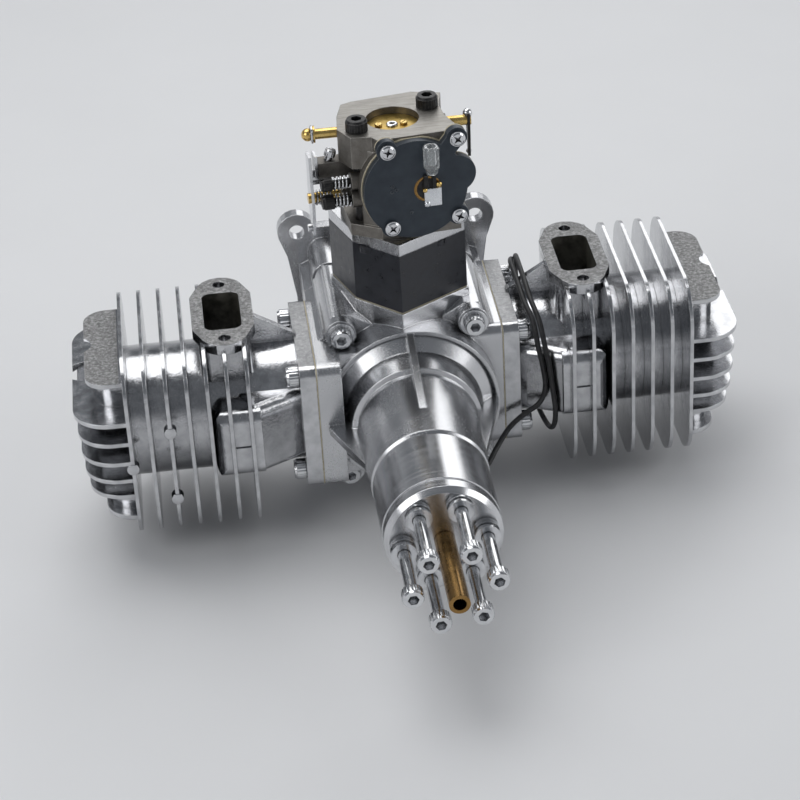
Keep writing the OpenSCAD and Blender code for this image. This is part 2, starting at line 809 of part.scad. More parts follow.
module prop_driver() {
    l = hub_rear_y - hub_face_y;
    color([0.74, 0.75, 0.76]) place() difference() {
        translate([0, hub_rear_y, 0]) rotate([90, 0, 0]) rotate_extrude()
            polygon([[0, 0], [hub_r - 0.6, 0], [hub_r, 0.6], [hub_r, l - 7.6], [hub_r - 0.7, l - 7.4],
                [hub_r - 0.7, l - 6.8], [hub_r - 0.2, l - 6.6], [hub_r - 0.2, l - 2.2],
                [hub_r - 2, l], [0, l]]);
        drum(nose_shaft_r + 0.01, hub_rear_y + 1, crank_end_y - 1);
        drum(sleeve_seat_r + 0.01, hub_face_y + sleeve_in + 5, hub_face_y - 1);
        on_prop_circle() drum(2.5, hub_face_y + 16, hub_face_y - 1);
        translate([0, hub_rear_y - 3.5, -hub_r - 1]) cylinder(r = magnet_r + 0.02, h = 4);
    }
}

module on_prop_circle() {
    for (i = [0 : prop_screw_count - 1]) rotate([0, hub_turn + 360 * i / prop_screw_count, 0])
        translate([prop_pcd / 2, 0, 0]) children();
}

module centre_sleeve() {
    color([0.55, 0.42, 0.2]) place() difference() {
        union() {
            drum(sleeve_seat_r, hub_face_y + sleeve_in, hub_face_y - 1);
            drum(sleeve_r, hub_face_y - sleeve_relief, hub_face_y - sleeve_out);
        }
        drum(sleeve_r - 1.5, hub_face_y + sleeve_in + 1, hub_face_y - sleeve_out - 1);
    }
}

module prop_screws() {
    color([0.8, 0.8, 0.82]) place() on_prop_circle()
        translate([0, hub_face_y - prop_screw_out + cap_head_h, 0]) rotate([90, 0, 0])
            cap_screw(cap_head_r, cap_head_h, 2.4, prop_screw_out - cap_head_h + 12, 2);
}

module prop_washers() {
    color([0.72, 0.73, 0.75]) place() on_prop_circle() {
        from_y(hub_face_y) ring(5, 2.6, 1.2);
        from_y(hub_face_y - 1.3) ring(4.4, 2.6, 1.6);
        from_y(hub_face_y - 3) ring(5, 2.6, 1.2);
    }
}

module timing_magnet() {
    color([0.3, 0.3, 0.32]) place() translate([0, hub_rear_y - 3.5, -hub_r + 0.2])
        cylinder(r = magnet_r, h = 2.7);
}

// Intake

reed_tilt = 30.7;

module reed_cage() {
    cage_l = 20;
    color([0.16, 0.16, 0.17]) place() translate([carb_x, carb_y, plate_z]) difference() {
        union() {
            translate([0, 0, -2.4]) linear_extrude(2.2) round_rect(34, 30, 2);
            rotate([90, 0, 0]) translate([0, 0, -10])
                linear_extrude(20) polygon([[-12, -2.3], [12, -2.3], [1.5, -cage_l], [-1.5, -cage_l]]);
        }
        rotate([90, 0, 0]) translate([0, 0, -8.5])
            linear_extrude(17) polygon([[-10, 1], [10, 1], [0.4, -cage_l + 2.6], [-0.4, -cage_l + 2.6]]);
        for (s = [-1, 1]) rotate([0, s * reed_tilt, 0]) translate([s * 10, 0, -6.5])
            cube([6, 13, 12], center = true);
        rotate([0, 0, carb_turn]) for (s = [-1, 1])
            translate([s * carb_screw_x, s * carb_screw_y, -3]) cylinder(r = 2.8, h = 4);
    }
}

module reed_petals() {
    color([0.25, 0.25, 0.24]) place() translate([carb_x, carb_y, plate_z])
        for (s = [-1, 1]) rotate([0, s * reed_tilt, 0]) translate([s * 11.8, 0, -6.8])
            cube([0.4, 16.5, 17], center = true);
}

module intake_gasket() {
    color([0.2, 0.2, 0.2]) place() translate([0, 0, pad_z]) linear_extrude(intake_gasket_t) difference() {
        intake_outline(-0.2);
        translate([carb_x, carb_y]) square([26, 22], center = true);
        carb_screw_circles(2.55);
    }
}

module carb_screw_circles(r) {
    translate([carb_x, carb_y]) rotate(carb_turn)
        for (s = [-1, 1]) translate([s * carb_screw_x, s * carb_screw_y]) circle(r = r);
}

module insulator() {
    color([0.07, 0.07, 0.08]) place() difference() {
        translate([0, 0, intake_floor_z]) linear_extrude(spacer_h) intake_outline();
        translate([carb_x, carb_y, 0]) linear_extrude(100) square([26, 22], center = true);
        translate([carb_x, carb_y, plate_z - 2.4]) linear_extrude(5) round_rect(34.4, 30.4, 2.2);
        linear_extrude(100) carb_screw_circles(2.55);
    }
}

module carb_plate() {
    color([0.8, 0.81, 0.82]) place() translate([0, 0, plate_z]) linear_extrude(plate_t) difference() {
        intake_outline(-0.1);
        translate([carb_x, carb_y]) circle(r = carb_bore_r);
        carb_screw_circles(2.55);
    }
}

// Carburettor, drawn about its bore with z = 0 on the adapter plate

module at_carb() {
    place() translate([carb_x, carb_y, carb_z]) rotate([0, 0, carb_turn]) children();
}

carb_top = [[-17, 18.5], [-12.5, 20], [12.5, 21.5], [23.5, 17], [20.2, 6], [20.2, -4], [23.5, -18],
    [-10, -18], [-11.5, -14.5], [-19.5, -12.7], [-23, -3.5], [-20.7, 8.2]];
top_t = 7;
shoulder_t = 13.4;
foot_t = 5;
back_x = 4;
back_r = 0.31 * carb_h;
back_z = 0.46 * carb_h;
needle_y = -9;
high_z = throttle_h + 9.5;
low_z = throttle_h + 1.8;
spring_x = -27;
spring_pitch = 1.9;
cover_face_y = -18;
cover_x = 3.6;
cover_z = carb_h / 2 + 0.2;
cover_top = 20.8;
nipple_x = 9.4;
nipple_z = cover_z + 10.9;
cover_ear_r = 4.2;
cover_ears = [[-10.7, 18.2], [17.1, 19.8], [-10.3, -14.9], [16.7, -13.6]];
cover_lobe = [16.3, 4.2];
cover_lobe_r = 8;
lever_x = -35;
lever_t = 1.2;
idle_z = carb_h - 14.4;
idle_tilt = 20;
choke_lever_x = 29.4;
choke_boss_r = 3.4;

module carb_body() {
    color([0.5, 0.49, 0.47]) at_carb() difference() {
        union() {
            translate([0, 0, carb_h - top_t]) linear_extrude(top_t) polygon(carb_top);
            translate([0, 0, carb_h - shoulder_t]) linear_extrude(shoulder_t)
                polygon([[-8, -14], [-11.5, -14.5], [-19.5, -12.7], [-23, -3.5], [-20.7, 8.2], [-8, 8]]);
            linear_extrude(carb_h - top_t + 1)
                polygon([[-15, 18], [20, 18], [20, -18], [-8, -18], [-13.5, -14], [-16, -12]]);
            linear_extrude(foot_t) polygon([[-21, 12], [-12, 18], [22, 18], [22, -18], [-10, -18], [-21, -10]]);
            intersection() {
                translate([cover_x, cover_face_y, cover_z]) rotate([-90, 0, 0]) cylinder(r = cover_r, h = 5);
                translate([-50, -50, 0]) cube([100, 100, carb_h - 1]);
            }
            translate([back_x, 17, back_z]) rotate([-90, 0, 0]) cylinder(r = back_r, h = 3);
            boss_x(-23, throttle_h, 5, 8);
            for (z = [high_z, low_z]) translate([0, needle_y, z]) boss_x(-20, 0, 3.6, 5);
            along_choke() rod_x(choke_boss_r, 16, 21);
            translate([-31.1, -2, idle_z - 6.5]) cube([17, 6.5, 6.5]);
        }
        translate([0, 0, -1]) cylinder(r = carb_bore_r, h = carb_h + 2);
        translate([0, 0, throttle_h]) rod_x(butterfly_shaft_r + run_gap, -40, 40);
        along_choke() rod_x(butterfly_shaft_r + run_gap, -40, 40);
        for (s = [-1, 1]) translate([s * carb_screw_x, s * carb_screw_y, -1]) cylinder(r = 2.7, h = carb_h + 2);
        for (z = [high_z, low_z]) translate([0, needle_y, z]) rod_x(1.5, -30, -18.7);
        at_idle_screw() cylinder(r = 1.55, h = 24, center = true);
    }
}

// The choke's shaft lies square to the crank, and not square to the turned body
module along_choke() {
    translate([0, 0, choke_h]) rotate([0, 0, -carb_turn]) children();
}

module at_idle_screw() {
    translate([-26.6, 0.8, idle_z]) rotate([0, idle_tilt, 0]) children();
}

// Boss along X from x, at height z
module boss_x(x, z, r, l) {
    translate([0, 0, z]) rod_x(r, x, x + l);
}

module cover_shape(r) {
    intersection() {
        circle(r = r);
        translate([-r - 1, -r - 1]) square([2 * r + 2, r + 1 + cover_top]);
    }
    for (p = cover_ears) {
        translate(p) circle(r = cover_ear_r);
        rotate(atan2(p[1], p[0])) translate([0, 0.6 - cover_ear_r]) square([norm(p), 2 * cover_ear_r - 1.2]);
    }
    translate(cover_lobe) circle(r = cover_lobe_r);
}

module cover_gasket() {
    color([0.75, 0.76, 0.76]) at_carb() translate([cover_x, cover_face_y, cover_z])
        from_y(0) linear_extrude(0.8) difference() {
            cover_shape(cover_r);
            cover_holes(1.6);
        }
}

module cover_holes(r) {
    for (p = cover_ears) translate(p) circle(r = r);
}

module front_cover() {
    color([0.16, 0.2, 0.25]) at_carb() translate([cover_x, cover_face_y - 0.8, cover_z])
        from_y(0) difference() {
            linear_extrude(cover_t) cover_shape(cover_r - 0.4);
            translate([0, 0, -1]) linear_extrude(10) cover_holes(1.6);
        }
}

module cover_screws() {
    color([0.8, 0.8, 0.82]) at_carb() translate([cover_x, cover_face_y - 0.8 - cover_t, cover_z])
        for (p = cover_ears) translate([p[0], 0, p[1]]) rotate([90, 0, 0]) cap_screw(3.2, 2.2, 1.5, cover_t + 0.7, 1.3);
}

module back_cover() {
    color([0.6, 0.6, 0.6]) at_carb() translate([back_x, 20, back_z]) rotate([-90, 0, 0]) difference() {
        cylinder(r = back_r, h = 2.5);
        translate([0, 0, 1.2]) cylinder(r = back_r - 4, h = 3);
    }
}

module carb_screws() {
    color([0.08, 0.08, 0.08]) at_carb()
        for (s = [-1, 1]) translate([s * carb_screw_x, s * carb_screw_y, carb_h])
            cap_screw(4.5, 5, 2.4, carb_h + plate_t + spacer_h + intake_gasket_t + 7, 2);
}

// Clear pipe that stands up in front of the cover, on a short elbow
module fuel_nipple() {
    color([0.85, 0.87, 0.85]) at_carb() translate([nipple_x, cover_face_y - 0.8 - cover_t, nipple_z]) {
        from_y(0) cylinder(r = 2.6, h = 4);
        translate([0, -4, -3]) difference() {
            cylinder(r = 3.1, h = 11.8);
            translate([0, 0, 4]) cylinder(r = 1.4, h = 10);
        }
    }
}

module needle(z) {
    translate([0, needle_y, z]) {
        rod_x(1.45, spring_x - 0.5, -18.9);
        rod_x(2.6, spring_x - 4.2, spring_x - 0.4);
        rod_x(3.1, spring_x - 4.8, spring_x - 2.6);
    }
}

module high_needle() {
    color([0.12, 0.12, 0.12]) at_carb() needle(high_z);
}

module low_needle() {
    color([0.12, 0.12, 0.12]) at_carb() needle(low_z);
}

module needle_spring(z) {
    translate([0, needle_y, z]) for (i = [0 : 3]) from_x(spring_x + spring_pitch * i) ring(2.9, 2, 0.9);
}

module high_spring() {
    color([0.8, 0.8, 0.8]) at_carb() needle_spring(high_z);
}

module low_spring() {
    color([0.8, 0.8, 0.8]) at_carb() needle_spring(low_z);
}

module idle_screw() {
    color([0.8, 0.8, 0.8]) at_carb() at_idle_screw() {
        translate([0, 0, -7.1]) cylinder(r = 1.5, h = 10.2);
        translate([0, 0, 1.6]) cylinder(r = 2.3, h = 3);
    }
}

// Shaft across the bore, with a flat that its butterfly lies on
module butterfly_shaft(x0, x1) {
    difference() {
        rod_x(butterfly_shaft_r, x0, x1);
        translate([0, 0, 5]) cube([2 * carb_bore_r - 0.1, 10, 10], center = true);
    }
}

module butterfly() {
    translate([0, 0, 0.05]) cylinder(r = carb_bore_r - 0.15, h = 0.8);
}

module throttle_shaft() {
    color([0.7, 0.6, 0.3]) at_carb() translate([0, 0, throttle_h]) butterfly_shaft(lever_x - 0.8, 22);
}

module throttle_plate() {
    color([0.75, 0.6, 0.25]) at_carb() translate([0, 0, throttle_h]) butterfly();
}

// Lever on the throttle shaft: a long arm, a forked upper end and a tab that meets the idle screw
module throttle_lever() {
    color([0.75, 0.75, 0.76]) at_carb() translate([0, 0, throttle_h]) difference() {
        union() {
            from_x(lever_x) linear_extrude(lever_t)
                polygon([[-2, -15.6], [1.5, -15.6], [4.6, 0], [3.2, 8], [3.2, 19], [-3, 19], [-3, 8], [-4.6, 0]]);
            translate([lever_x, -3, 9.2]) cube([3.6, 6.2, 1.2]);
            translate([lever_x + 2.4, -3, 9.2]) cube([lever_t, 6.2, 9.8]);
            translate([lever_x, -1.8, 6.6]) cube([9.2, 4.5, 1.2]);
            translate([0, 0, -13]) rod_x(1.6, lever_x - 1.6, lever_x + 0.5);
        }
        rod_x(butterfly_shaft_r + 0.02, -40, -30);
    }
}

module throttle_spring() {
    color([0.6, 0.6, 0.6]) at_carb() translate([0, 0, throttle_h])
        for (i = [0 : 4]) from_x(lever_x + 2 + 1.6 * i) ring(3.2, 2.4, 0.8);
}

// Choke shaft, with a collar and a round end on the left
module choke_shaft() {
    color([0.8, 0.62, 0.25]) at_carb() along_choke() {
        butterfly_shaft(-34, 31);
        rod_x(3.4, -32.4, -30.9);
        translate([-33.6, 0, 0]) sphere(r = 2.6);
    }
}

module choke_plate() {
    color([0.8, 0.62, 0.25]) at_carb() along_choke() butterfly();
}

module choke_screws() {
    color([0.9, 0.9, 0.85]) at_carb() along_choke()
        for (s = [-1, 1]) translate([s * 5 - 0.6, 0, 0.9]) cylinder(r = 1.5, h = 1);
}

module choke_lever() {
    color([0.15, 0.15, 0.15]) at_carb() along_choke() difference() {
        from_x(choke_lever_x) linear_extrude(1.1)
            polygon([[-1, -15.5], [1, -15.5], [2.6, -3], [2.6, 3.4], [-2.6, 3.4], [-2.6, -3]]);
        rod_x(butterfly_shaft_r + 0.02, choke_lever_x - 1, choke_lever_x + 2);
    }
}

// Ignition sensor under the nose, and its lead wound round the right cylinder's neck

// Pick-up block under the front of the nose, shaped to it and reaching over the driver's rim
module ignition_sensor() {
    color([0.1, 0.1, 0.1]) place() difference() {
        translate([-7, -93, -29.5]) cube([14, 19.5, 8]);
        rotate([90, 0, 0]) cylinder(r = nose_r - 0.9, h = 87);
        drum(hub_r + 0.8, -86, -95);
    }
}

lead_r = 1.1;
lead_route = [[3, -73.3, -27.5], [5, -66, -28], [12, -57, -28.5], [21, -49, -27.5], [28, -41, -25],
    [33.5, -33, -21.5], [39.5, -28, -16], [46.5, -25.6, -11.5], [52.6, -24.4, -8],
    [55.4, -23.9, -1], [54.6, -23.3, 9], [53, -22.6, 18], [51.8, -18.5, 27.6], [50, -8, 31.3],
    [49.5, 3, 33], [49.3, 15, 33.2], [49.8, 28, 31], [51.9, 38.6, 25.5], [51.8, 41.6, 15],
    [52.2, 41.6, 1], [53.2, 41.8, -13], [54.2, 37, -24], [55.4, 27, -28.8], [56.6, 12, -29.4],
    [57.6, -4, -28.6], [58.4, -16, -25.5], [59, -23.6, -19], [59, -26, -10], [58, -25.6, 0],
    [57, -25.2, 10], [55.6, -24.2, 18.5], [54.2, -19, 28], [52.5, -8.5, 32.4], [51.9, 3, 34.9],
    [51.8, 15, 35.1], [52.4, 29, 32.4], [53.6, 39.5, 26], [54.2, 44.4, 17], [54.6, 45.2, 9],
    [54.6, 45.2, 3]];

function spline(p, i, t) =
    let (a = p[max(i - 1, 0)], b = p[i], c = p[i + 1], d = p[min(i + 2, len(p) - 1)])
    b + t / 2 * (c - a) + t * t * (a - 2.5 * b + 2 * c - d / 2) + t * t * t * (1.5 * (b - c) + (d - a) / 2);

// Route with one more point between each two that were chosen
function smooth_route(p) =
    concat([for (i = [0 : len(p) - 2], t = [0, 0.5]) spline(p, i, t)], [p[len(p) - 1]]);

function unit(v) = v / norm(v);

function heading(p, i) = unit(p[min(i + 1, len(p) - 1)] - p[max(i - 1, 0)]);

// Side direction of each ring, carried on from the ring before so that the tube does not twist
function carried(p, i, v) = let (h = heading(p, i)) unit(v - (v * h) * h);

function sides_along(p, i, v) =
    i == len(p) ? [] : let (w = carried(p, i, v)) concat([w], sides_along(p, i + 1, w));

// Round tube of radius r along the points p
module tube_along(p, r, n = 8) {
    sides = sides_along(p, 0, [0, 0, 1]);
    points = [for (i = [0 : len(p) - 1], k = [0 : n - 1])
        let (u = sides[i], w = cross(heading(p, i), u), a = 360 * k / n)
        p[i] + r * (cos(a) * u + sin(a) * w)];
    last = (len(p) - 1) * n;
    walls = [for (i = [0 : len(p) - 2], k = [0 : n - 1])
        [i * n + k, i * n + (k + 1) % n, (i + 1) * n + (k + 1) % n, (i + 1) * n + k]];
    ends = [[for (k = [n - 1 : -1 : 0]) k], [for (k = [0 : n - 1]) last + k]];
    polyhedron(points = points, faces = [for (f = concat(walls, ends)) [for (k = [len(f) - 1 : -1 : 0]) f[k]]]);
}

module sensor_lead() {
    color([0.05, 0.05, 0.05]) place() tube_along(smooth_route(lead_route), lead_r);
}

module sensor_plug() {
    end = lead_route[len(lead_route) - 1];
    color([0.07, 0.07, 0.08]) place() translate([end[0], end[1], end[2] - 0.05]) difference() {
        translate([-4, -1.3, -14]) cube([8, 2.6, 14]);
        for (i = [-1 : 1]) translate([i * 2.54 - 0.5, -0.5, -15]) cube([1, 1, 8]);
    }
}

front_case();
rear_case();
case_screws();
left_cylinder();
right_cylinder();
left_gasket();
right_gasket();
left_cylinder_screws();
right_cylinder_screws();
left_piston();
right_piston();
left_rings();
right_rings();
left_wrist_pin();
right_wrist_pin();
left_rod();
right_rod();
left_rod_bearings();
right_rod_bearings();
left_crankpin();
right_crankpin();
front_bearing();
middle_bearing();
rear_bearing();
oil_seal();
crankshaft();
prop_driver();
centre_sleeve();
prop_screws();
prop_washers();
timing_magnet();
reed_cage();
reed_petals();
intake_gasket();
insulator();
carb_plate();
carb_body();
front_cover();
cover_gasket();
cover_screws();
back_cover();
carb_screws();
fuel_nipple();
high_needle();
low_needle();
high_spring();
low_spring();
idle_screw();
throttle_shaft();
throttle_plate();
throttle_lever();
throttle_spring();
choke_shaft();
choke_plate();
choke_screws();
choke_lever();
ignition_sensor();
sensor_lead();
sensor_plug();
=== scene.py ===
import json
import math
import bmesh
import bpy
from mathutils import Matrix, Vector


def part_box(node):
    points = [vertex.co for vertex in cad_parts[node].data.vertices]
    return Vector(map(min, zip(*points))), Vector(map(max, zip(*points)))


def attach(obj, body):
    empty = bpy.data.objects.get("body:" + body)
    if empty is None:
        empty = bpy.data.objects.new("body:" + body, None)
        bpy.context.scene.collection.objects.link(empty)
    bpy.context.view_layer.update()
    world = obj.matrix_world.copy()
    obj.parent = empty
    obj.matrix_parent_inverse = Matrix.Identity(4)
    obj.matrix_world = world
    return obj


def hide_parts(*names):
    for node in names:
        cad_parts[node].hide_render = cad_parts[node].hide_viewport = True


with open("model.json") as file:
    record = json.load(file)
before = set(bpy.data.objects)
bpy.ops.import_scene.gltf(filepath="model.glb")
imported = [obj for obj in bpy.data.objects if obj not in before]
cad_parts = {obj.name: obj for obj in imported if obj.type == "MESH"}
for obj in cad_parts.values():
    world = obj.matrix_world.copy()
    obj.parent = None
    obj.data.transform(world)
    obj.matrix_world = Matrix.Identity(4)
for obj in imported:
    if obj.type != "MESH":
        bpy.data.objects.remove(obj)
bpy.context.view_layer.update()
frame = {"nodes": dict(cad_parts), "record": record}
nodes = frame["nodes"]
mm = 0.001
crankY = -0.056  # the crank's centre, seen from the rear mounting face
print("frame loaded:", len(nodes), "nodes")

# Camera, turned about the crank's centre

cameraView = {
    "azimuth": -4.99, "elevation": 31.65, "roll": -3.34,
    "distance": 1044.15 * mm, "right": -2.0 * mm, "up": -12.7 * mm,
    "sensor": 36.0, "lens": 112.5,
}


def fromCrank(x, y, z):
    return Vector((x * mm, y * mm + crankY, z * mm))


def placeCamera(view):
    a, e, r = (math.radians(view[k]) for k in ("azimuth", "elevation", "roll"))
    back = Vector((math.sin(a) * math.cos(e), -math.cos(a) * math.cos(e), math.sin(e)))
    right = Vector((math.cos(a), math.sin(a), 0))
    up = back.cross(right)
    across = right * math.cos(r) + up * math.sin(r)
    upward = up * math.cos(r) - right * math.sin(r)
    data = bpy.data.cameras.new("camera")
    data.sensor_width = view["sensor"]
    data.lens = view["lens"]
    data.clip_start = 0.05
    camera = bpy.data.objects.new("camera", data)
    turned = Matrix((across, upward, back)).transposed().to_4x4()
    spot = back * view["distance"] + across * view["right"] + upward * view["up"]
    turned.translation = spot + Vector((0, crankY, 0))
    camera.matrix_world = turned
    bpy.context.scene.collection.objects.link(camera)
    bpy.context.scene.camera = camera


placeCamera(cameraView)
print("camera placed")

# Shader building: Python maths on a Signal adds Math nodes


class Signal:
    def __init__(self, graph, socket):
        self.graph = graph
        self.socket = socket

    def math(self, operation, *others):
        return self.graph.add("ShaderNodeMath", {"operation": operation}, [self, *others])

    def __add__(self, other):
        return self.math("ADD", other)

    def __mul__(self, other):
        return self.math("MULTIPLY", other)

    def __sub__(self, other):
        return self.math("SUBTRACT", other)

    def __truediv__(self, other):
        return self.math("DIVIDE", other)

    def __pow__(self, other):
        return self.math("POWER", other)

    def __mod__(self, other):
        return self.math("MODULO", other)

    def __lt__(self, other):
        return self.math("LESS_THAN", other)

    def __gt__(self, other):
        return self.math("GREATER_THAN", other)

    def __abs__(self):
        return self.math("ABSOLUTE")

    def __neg__(self):
        return self.math("MULTIPLY", -1.0)

    def __rsub__(self, other):
        return self.graph.add("ShaderNodeMath", {"operation": "SUBTRACT"}, [other, self])

    __radd__ = __add__
    __rmul__ = __mul__


class Graph:
    def __init__(self, tree):
        self.tree = tree

    def set(self, node, values):
        pairs = values.items() if isinstance(values, dict) else enumerate(values)
        for key, value in pairs:
            socket = node.inputs[key]
            if isinstance(value, Signal):
                self.tree.links.new(value.socket, socket)
            elif socket.type == "RGBA":
                socket.default_value = (*value[:3], 1)
            else:
                socket.default_value = value

    def setStops(self, elements, stops):
        while len(elements) < len(stops):
            elements.new(0.5)
        for element, (position, colour) in zip(elements, stops):
            element.position = position
            element.color = (*colour, 1)

    def add(self, kind, settings, values, output=0):
        node = self.tree.nodes.new(kind)
        for key, value in settings.items():
            if key == "stops":
                self.setStops(node.color_ramp.elements, value)
            else:
                setattr(node, key, value)
        self.set(node, values)
        return node if output is None else Signal(self, node.outputs[output])

    def between(self, signal, low, high, outLow=0.0, outHigh=1.0):
        return self.add("ShaderNodeMapRange", {}, [signal, low, high, outLow, outHigh])

    def mix(self, factor, first, second):
        return self.add("ShaderNodeMix", {"data_type": "RGBA"}, {0: factor, 6: first, 7: second}, 2)


cloudLow = 0.3  # nearly all of a noise lies between these two
cloudHigh = 0.7


class Paint(Graph):
    def __init__(self, name, metal=0.0, rough=0.5, colour=(0.5, 0.5, 0.5), **fixed):
        self.material = bpy.data.materials.new(name)
        self.material.use_nodes = True
        super().__init__(self.material.node_tree)
        self.shader = self.tree.nodes["Principled BSDF"]
        self.set(self.shader, {"Metallic": metal, "Roughness": rough, "Base Color": colour, **fixed})
        self.coordinates = self.add("ShaderNodeTexCoord", {}, {}, "Object")
        apart = self.add("ShaderNodeSeparateXYZ", {}, [self.coordinates], None)
        self.x, self.y, self.z = (Signal(self, s) for s in apart.outputs)

    def ramp(self, factor, *stops):
        return self.add("ShaderNodeValToRGB", {"stops": stops}, [factor])

    def shades(self, cloud, dark, light):
        return self.ramp(cloud, (cloudLow, dark), (cloudHigh, light))

    def spread(self, cloud, low, high):
        return self.between(cloud, cloudLow, cloudHigh, low, high)

    def noise(self, size, detail=3.0, roughness=0.55, stretch=None):
        where = self.coordinates
        if stretch:
            where = self.add("ShaderNodeMapping", {}, {"Vector": where, "Scale": stretch})
        return self.add("ShaderNodeTexNoise", {}, {
            "Vector": where, "Scale": 1 / size, "Detail": detail, "Roughness": roughness})

    def grains(self, size):
        return self.add("ShaderNodeTexVoronoi", {}, {
            "Vector": self.coordinates, "Scale": 1 / size}, "Distance")

    def worn(self, radius, start=0.985, full=0.86):
        rounded = self.add("ShaderNodeBevel", {"samples": 4}, {"Radius": radius})
        face = self.add("ShaderNodeNewGeometry", {}, {}, "Normal")
        agree = self.add("ShaderNodeVectorMath", {"operation": "DOT_PRODUCT"}, [rounded, face], "Value")
        return self.between(agree, start, full)

    # Painted shade: an ambient-occlusion mask, near 1 where nearby geometry hems a surface in, used to
    # darken colour in recesses and corners where shade falls
    def paintedShade(self, reach, free=0.8, shut=0.25):
        hidden = self.add("ShaderNodeAmbientOcclusion", {"samples": 6}, {"Distance": reach}, "AO")
        return self.between(hidden, free, shut)

    def finish(self, colour=None, rough=None, metal=None, height=None, depth=0.1 * mm, edge=None):
        feeds = {"Base Color": colour, "Roughness": rough, "Metallic": metal}
        self.set(self.shader, {k: v for k, v in feeds.items() if v is not None})
        normal = None
        if edge:
            normal = self.add("ShaderNodeBevel", {"samples": 4}, {"Radius": edge})
        if height is not None:
            values = {"Distance": depth, "Height": height}
            if normal is not None:
                values["Normal"] = normal
            normal = self.add("ShaderNodeBump", {}, values)
        if normal is not None:
            self.set(self.shader, {"Normal": normal})
        return self.material


# Finishes, one for each of the engine's own surfaces


def castCase():
    p = Paint("castCase", metal=1.0)
    clouds = p.noise(14 * mm, 3, 0.45)
    skin = p.noise(0.5 * mm, 3, 0.6)
    rim = p.worn(0.5 * mm)
    plain = p.shades(clouds, (0.54, 0.545, 0.56), (0.61, 0.615, 0.63))
    # painted shade: the case's colour darkens toward near black in its corners and recesses
    withPaintedShade = p.mix(p.paintedShade(5 * mm) * 0.55, plain, (0.14, 0.14, 0.145))
    colour = p.mix(rim, withPaintedShade, (0.76, 0.765, 0.78))
    return p.finish(colour, p.spread(clouds * 0.5 + skin * 0.5, 0.2, 0.3) - rim * 0.06,
                    height=skin, depth=0.018 * mm, edge=0.7 * mm)


asCast = {  # where the faces that were left rough and the sooty port lie, from the crank
    "padTop": 30.95 * mm, "padBand": 0.3 * mm, "headStart": 117.0 * mm, "footTop": 27.9 * mm,
    "footEnd": 46.0 * mm, "footShare": 0.6, "depth": 0.06 * mm, "portX": 73.7 * mm,
    "portHalfX": 7.8 * mm, "portHalfY": 15.3 * mm, "portLow": 20.0 * mm, "stagger": 9.56 * mm,
}


def brightCylinder():
    p = Paint("brightCylinder", metal=1.0)
    swell = p.noise(13 * mm, 2, 0.4)
    skin = p.noise(1.0 * mm, 3, 0.5)
    stain = p.noise(5 * mm, 4)
    lumps = p.noise(1.3 * mm, 5, 0.75)
    crumbs = p.grains(0.8 * mm)
    far = abs(p.x)
    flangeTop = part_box("left_cylinder")[1].z
    below = asCast["depth"]
    onFlange = p.z > flangeTop - below
    onPad = ((p.z > asCast["padTop"] - below) * (p.z < asCast["padTop"] + asCast["padBand"])
             * (far > asCast["headStart"]))
    onFoot = (p.z > asCast["footTop"]) * (far < asCast["footEnd"]) * asCast["footShare"]
    raw = (onFlange + onPad + onFoot).math("MINIMUM", 1.0) * (1 - p.worn(0.5 * mm) * 0.9)
    across = abs(p.y - crankY - p.x.math("SIGN") * asCast["stagger"])
    soot = ((abs(far - asCast["portX"]) < asCast["portHalfX"]) * (across < asCast["portHalfY"])
            * (p.z > asCast["portLow"]) * (p.z < flangeTop - below))
    polished = p.ramp(stain, (0.3, (0.46, 0.465, 0.48)), (0.65, (0.64, 0.645, 0.66)))
    grey = p.ramp(lumps, (0.32, (0.1, 0.1, 0.1)), (0.5, (0.24, 0.24, 0.24)), (0.68, (0.5, 0.5, 0.5)))
    smooth = p.between(skin * 0.5 + stain * 0.5, 0.32, 0.68, 0.1, 0.28)
    height = (swell * 5 + skin) * (1 - raw) * 0.14 + (lumps + crumbs * 0.5) * raw
    burnt = p.ramp(stain, (0.35, (0.035, 0.034, 0.028)), (0.7, (0.13, 0.125, 0.105)))
    # painted shade: the cylinder's colour darkens between the fins and in other recesses
    shaded = p.mix(p.paintedShade(7 * mm) * 0.5, polished, (0.1, 0.1, 0.105))
    skinColour = p.mix(soot, p.mix(raw, shaded, grey), burnt)
    return p.finish(skinColour, smooth * (1 - raw) + raw * 0.5 + soot * 0.25,
                    metal=1 - raw * 0.3 - soot * 0.6, height=height, depth=0.35 * mm, edge=0.45 * mm)


def turnedAlloy():
    p = Paint("turnedAlloy", metal=1.0)
    toolPitch = 0.42 * mm
    lines = (p.y / toolPitch * math.tau).math("SINE")
    streak = p.noise(3 * mm, 2, 0.45, stretch=(0.08, 2.0, 0.08))
    colour = p.ramp(streak, (0.25, (0.58, 0.585, 0.6)), (0.75, (0.67, 0.675, 0.69)))
    return p.finish(colour, p.spread(streak, 0.18, 0.26),
                    height=lines * 0.1 + streak * 0.4, depth=0.005 * mm, edge=0.35 * mm)


def milledAlloy():
    p = Paint("milledAlloy", metal=1.0)
    sweep = p.noise(2.5 * mm, 3, 0.5, stretch=(0.15, 1.6, 0.6))
    colour = p.shades(sweep, (0.56, 0.565, 0.58), (0.67, 0.675, 0.69))
    return p.finish(colour, p.spread(sweep, 0.18, 0.3),
                    height=sweep, depth=0.006 * mm, edge=0.6 * mm)


def zincSteel():
    p = Paint("zincSteel", metal=1.0)
    cloud = p.noise(3.5 * mm, 2)
    plated = p.shades(cloud, (0.64, 0.65, 0.67), (0.75, 0.755, 0.765))
    # painted shade: the screws' colour darkens toward near black inside sockets and other recesses
    colour = p.mix(p.paintedShade(2.2 * mm, 0.75, 0.3) * 0.85, plated, (0.05, 0.05, 0.055))
    return p.finish(colour, p.spread(cloud, 0.12, 0.24),
                    height=p.noise(0.5 * mm), depth=0.004 * mm, edge=0.2 * mm)


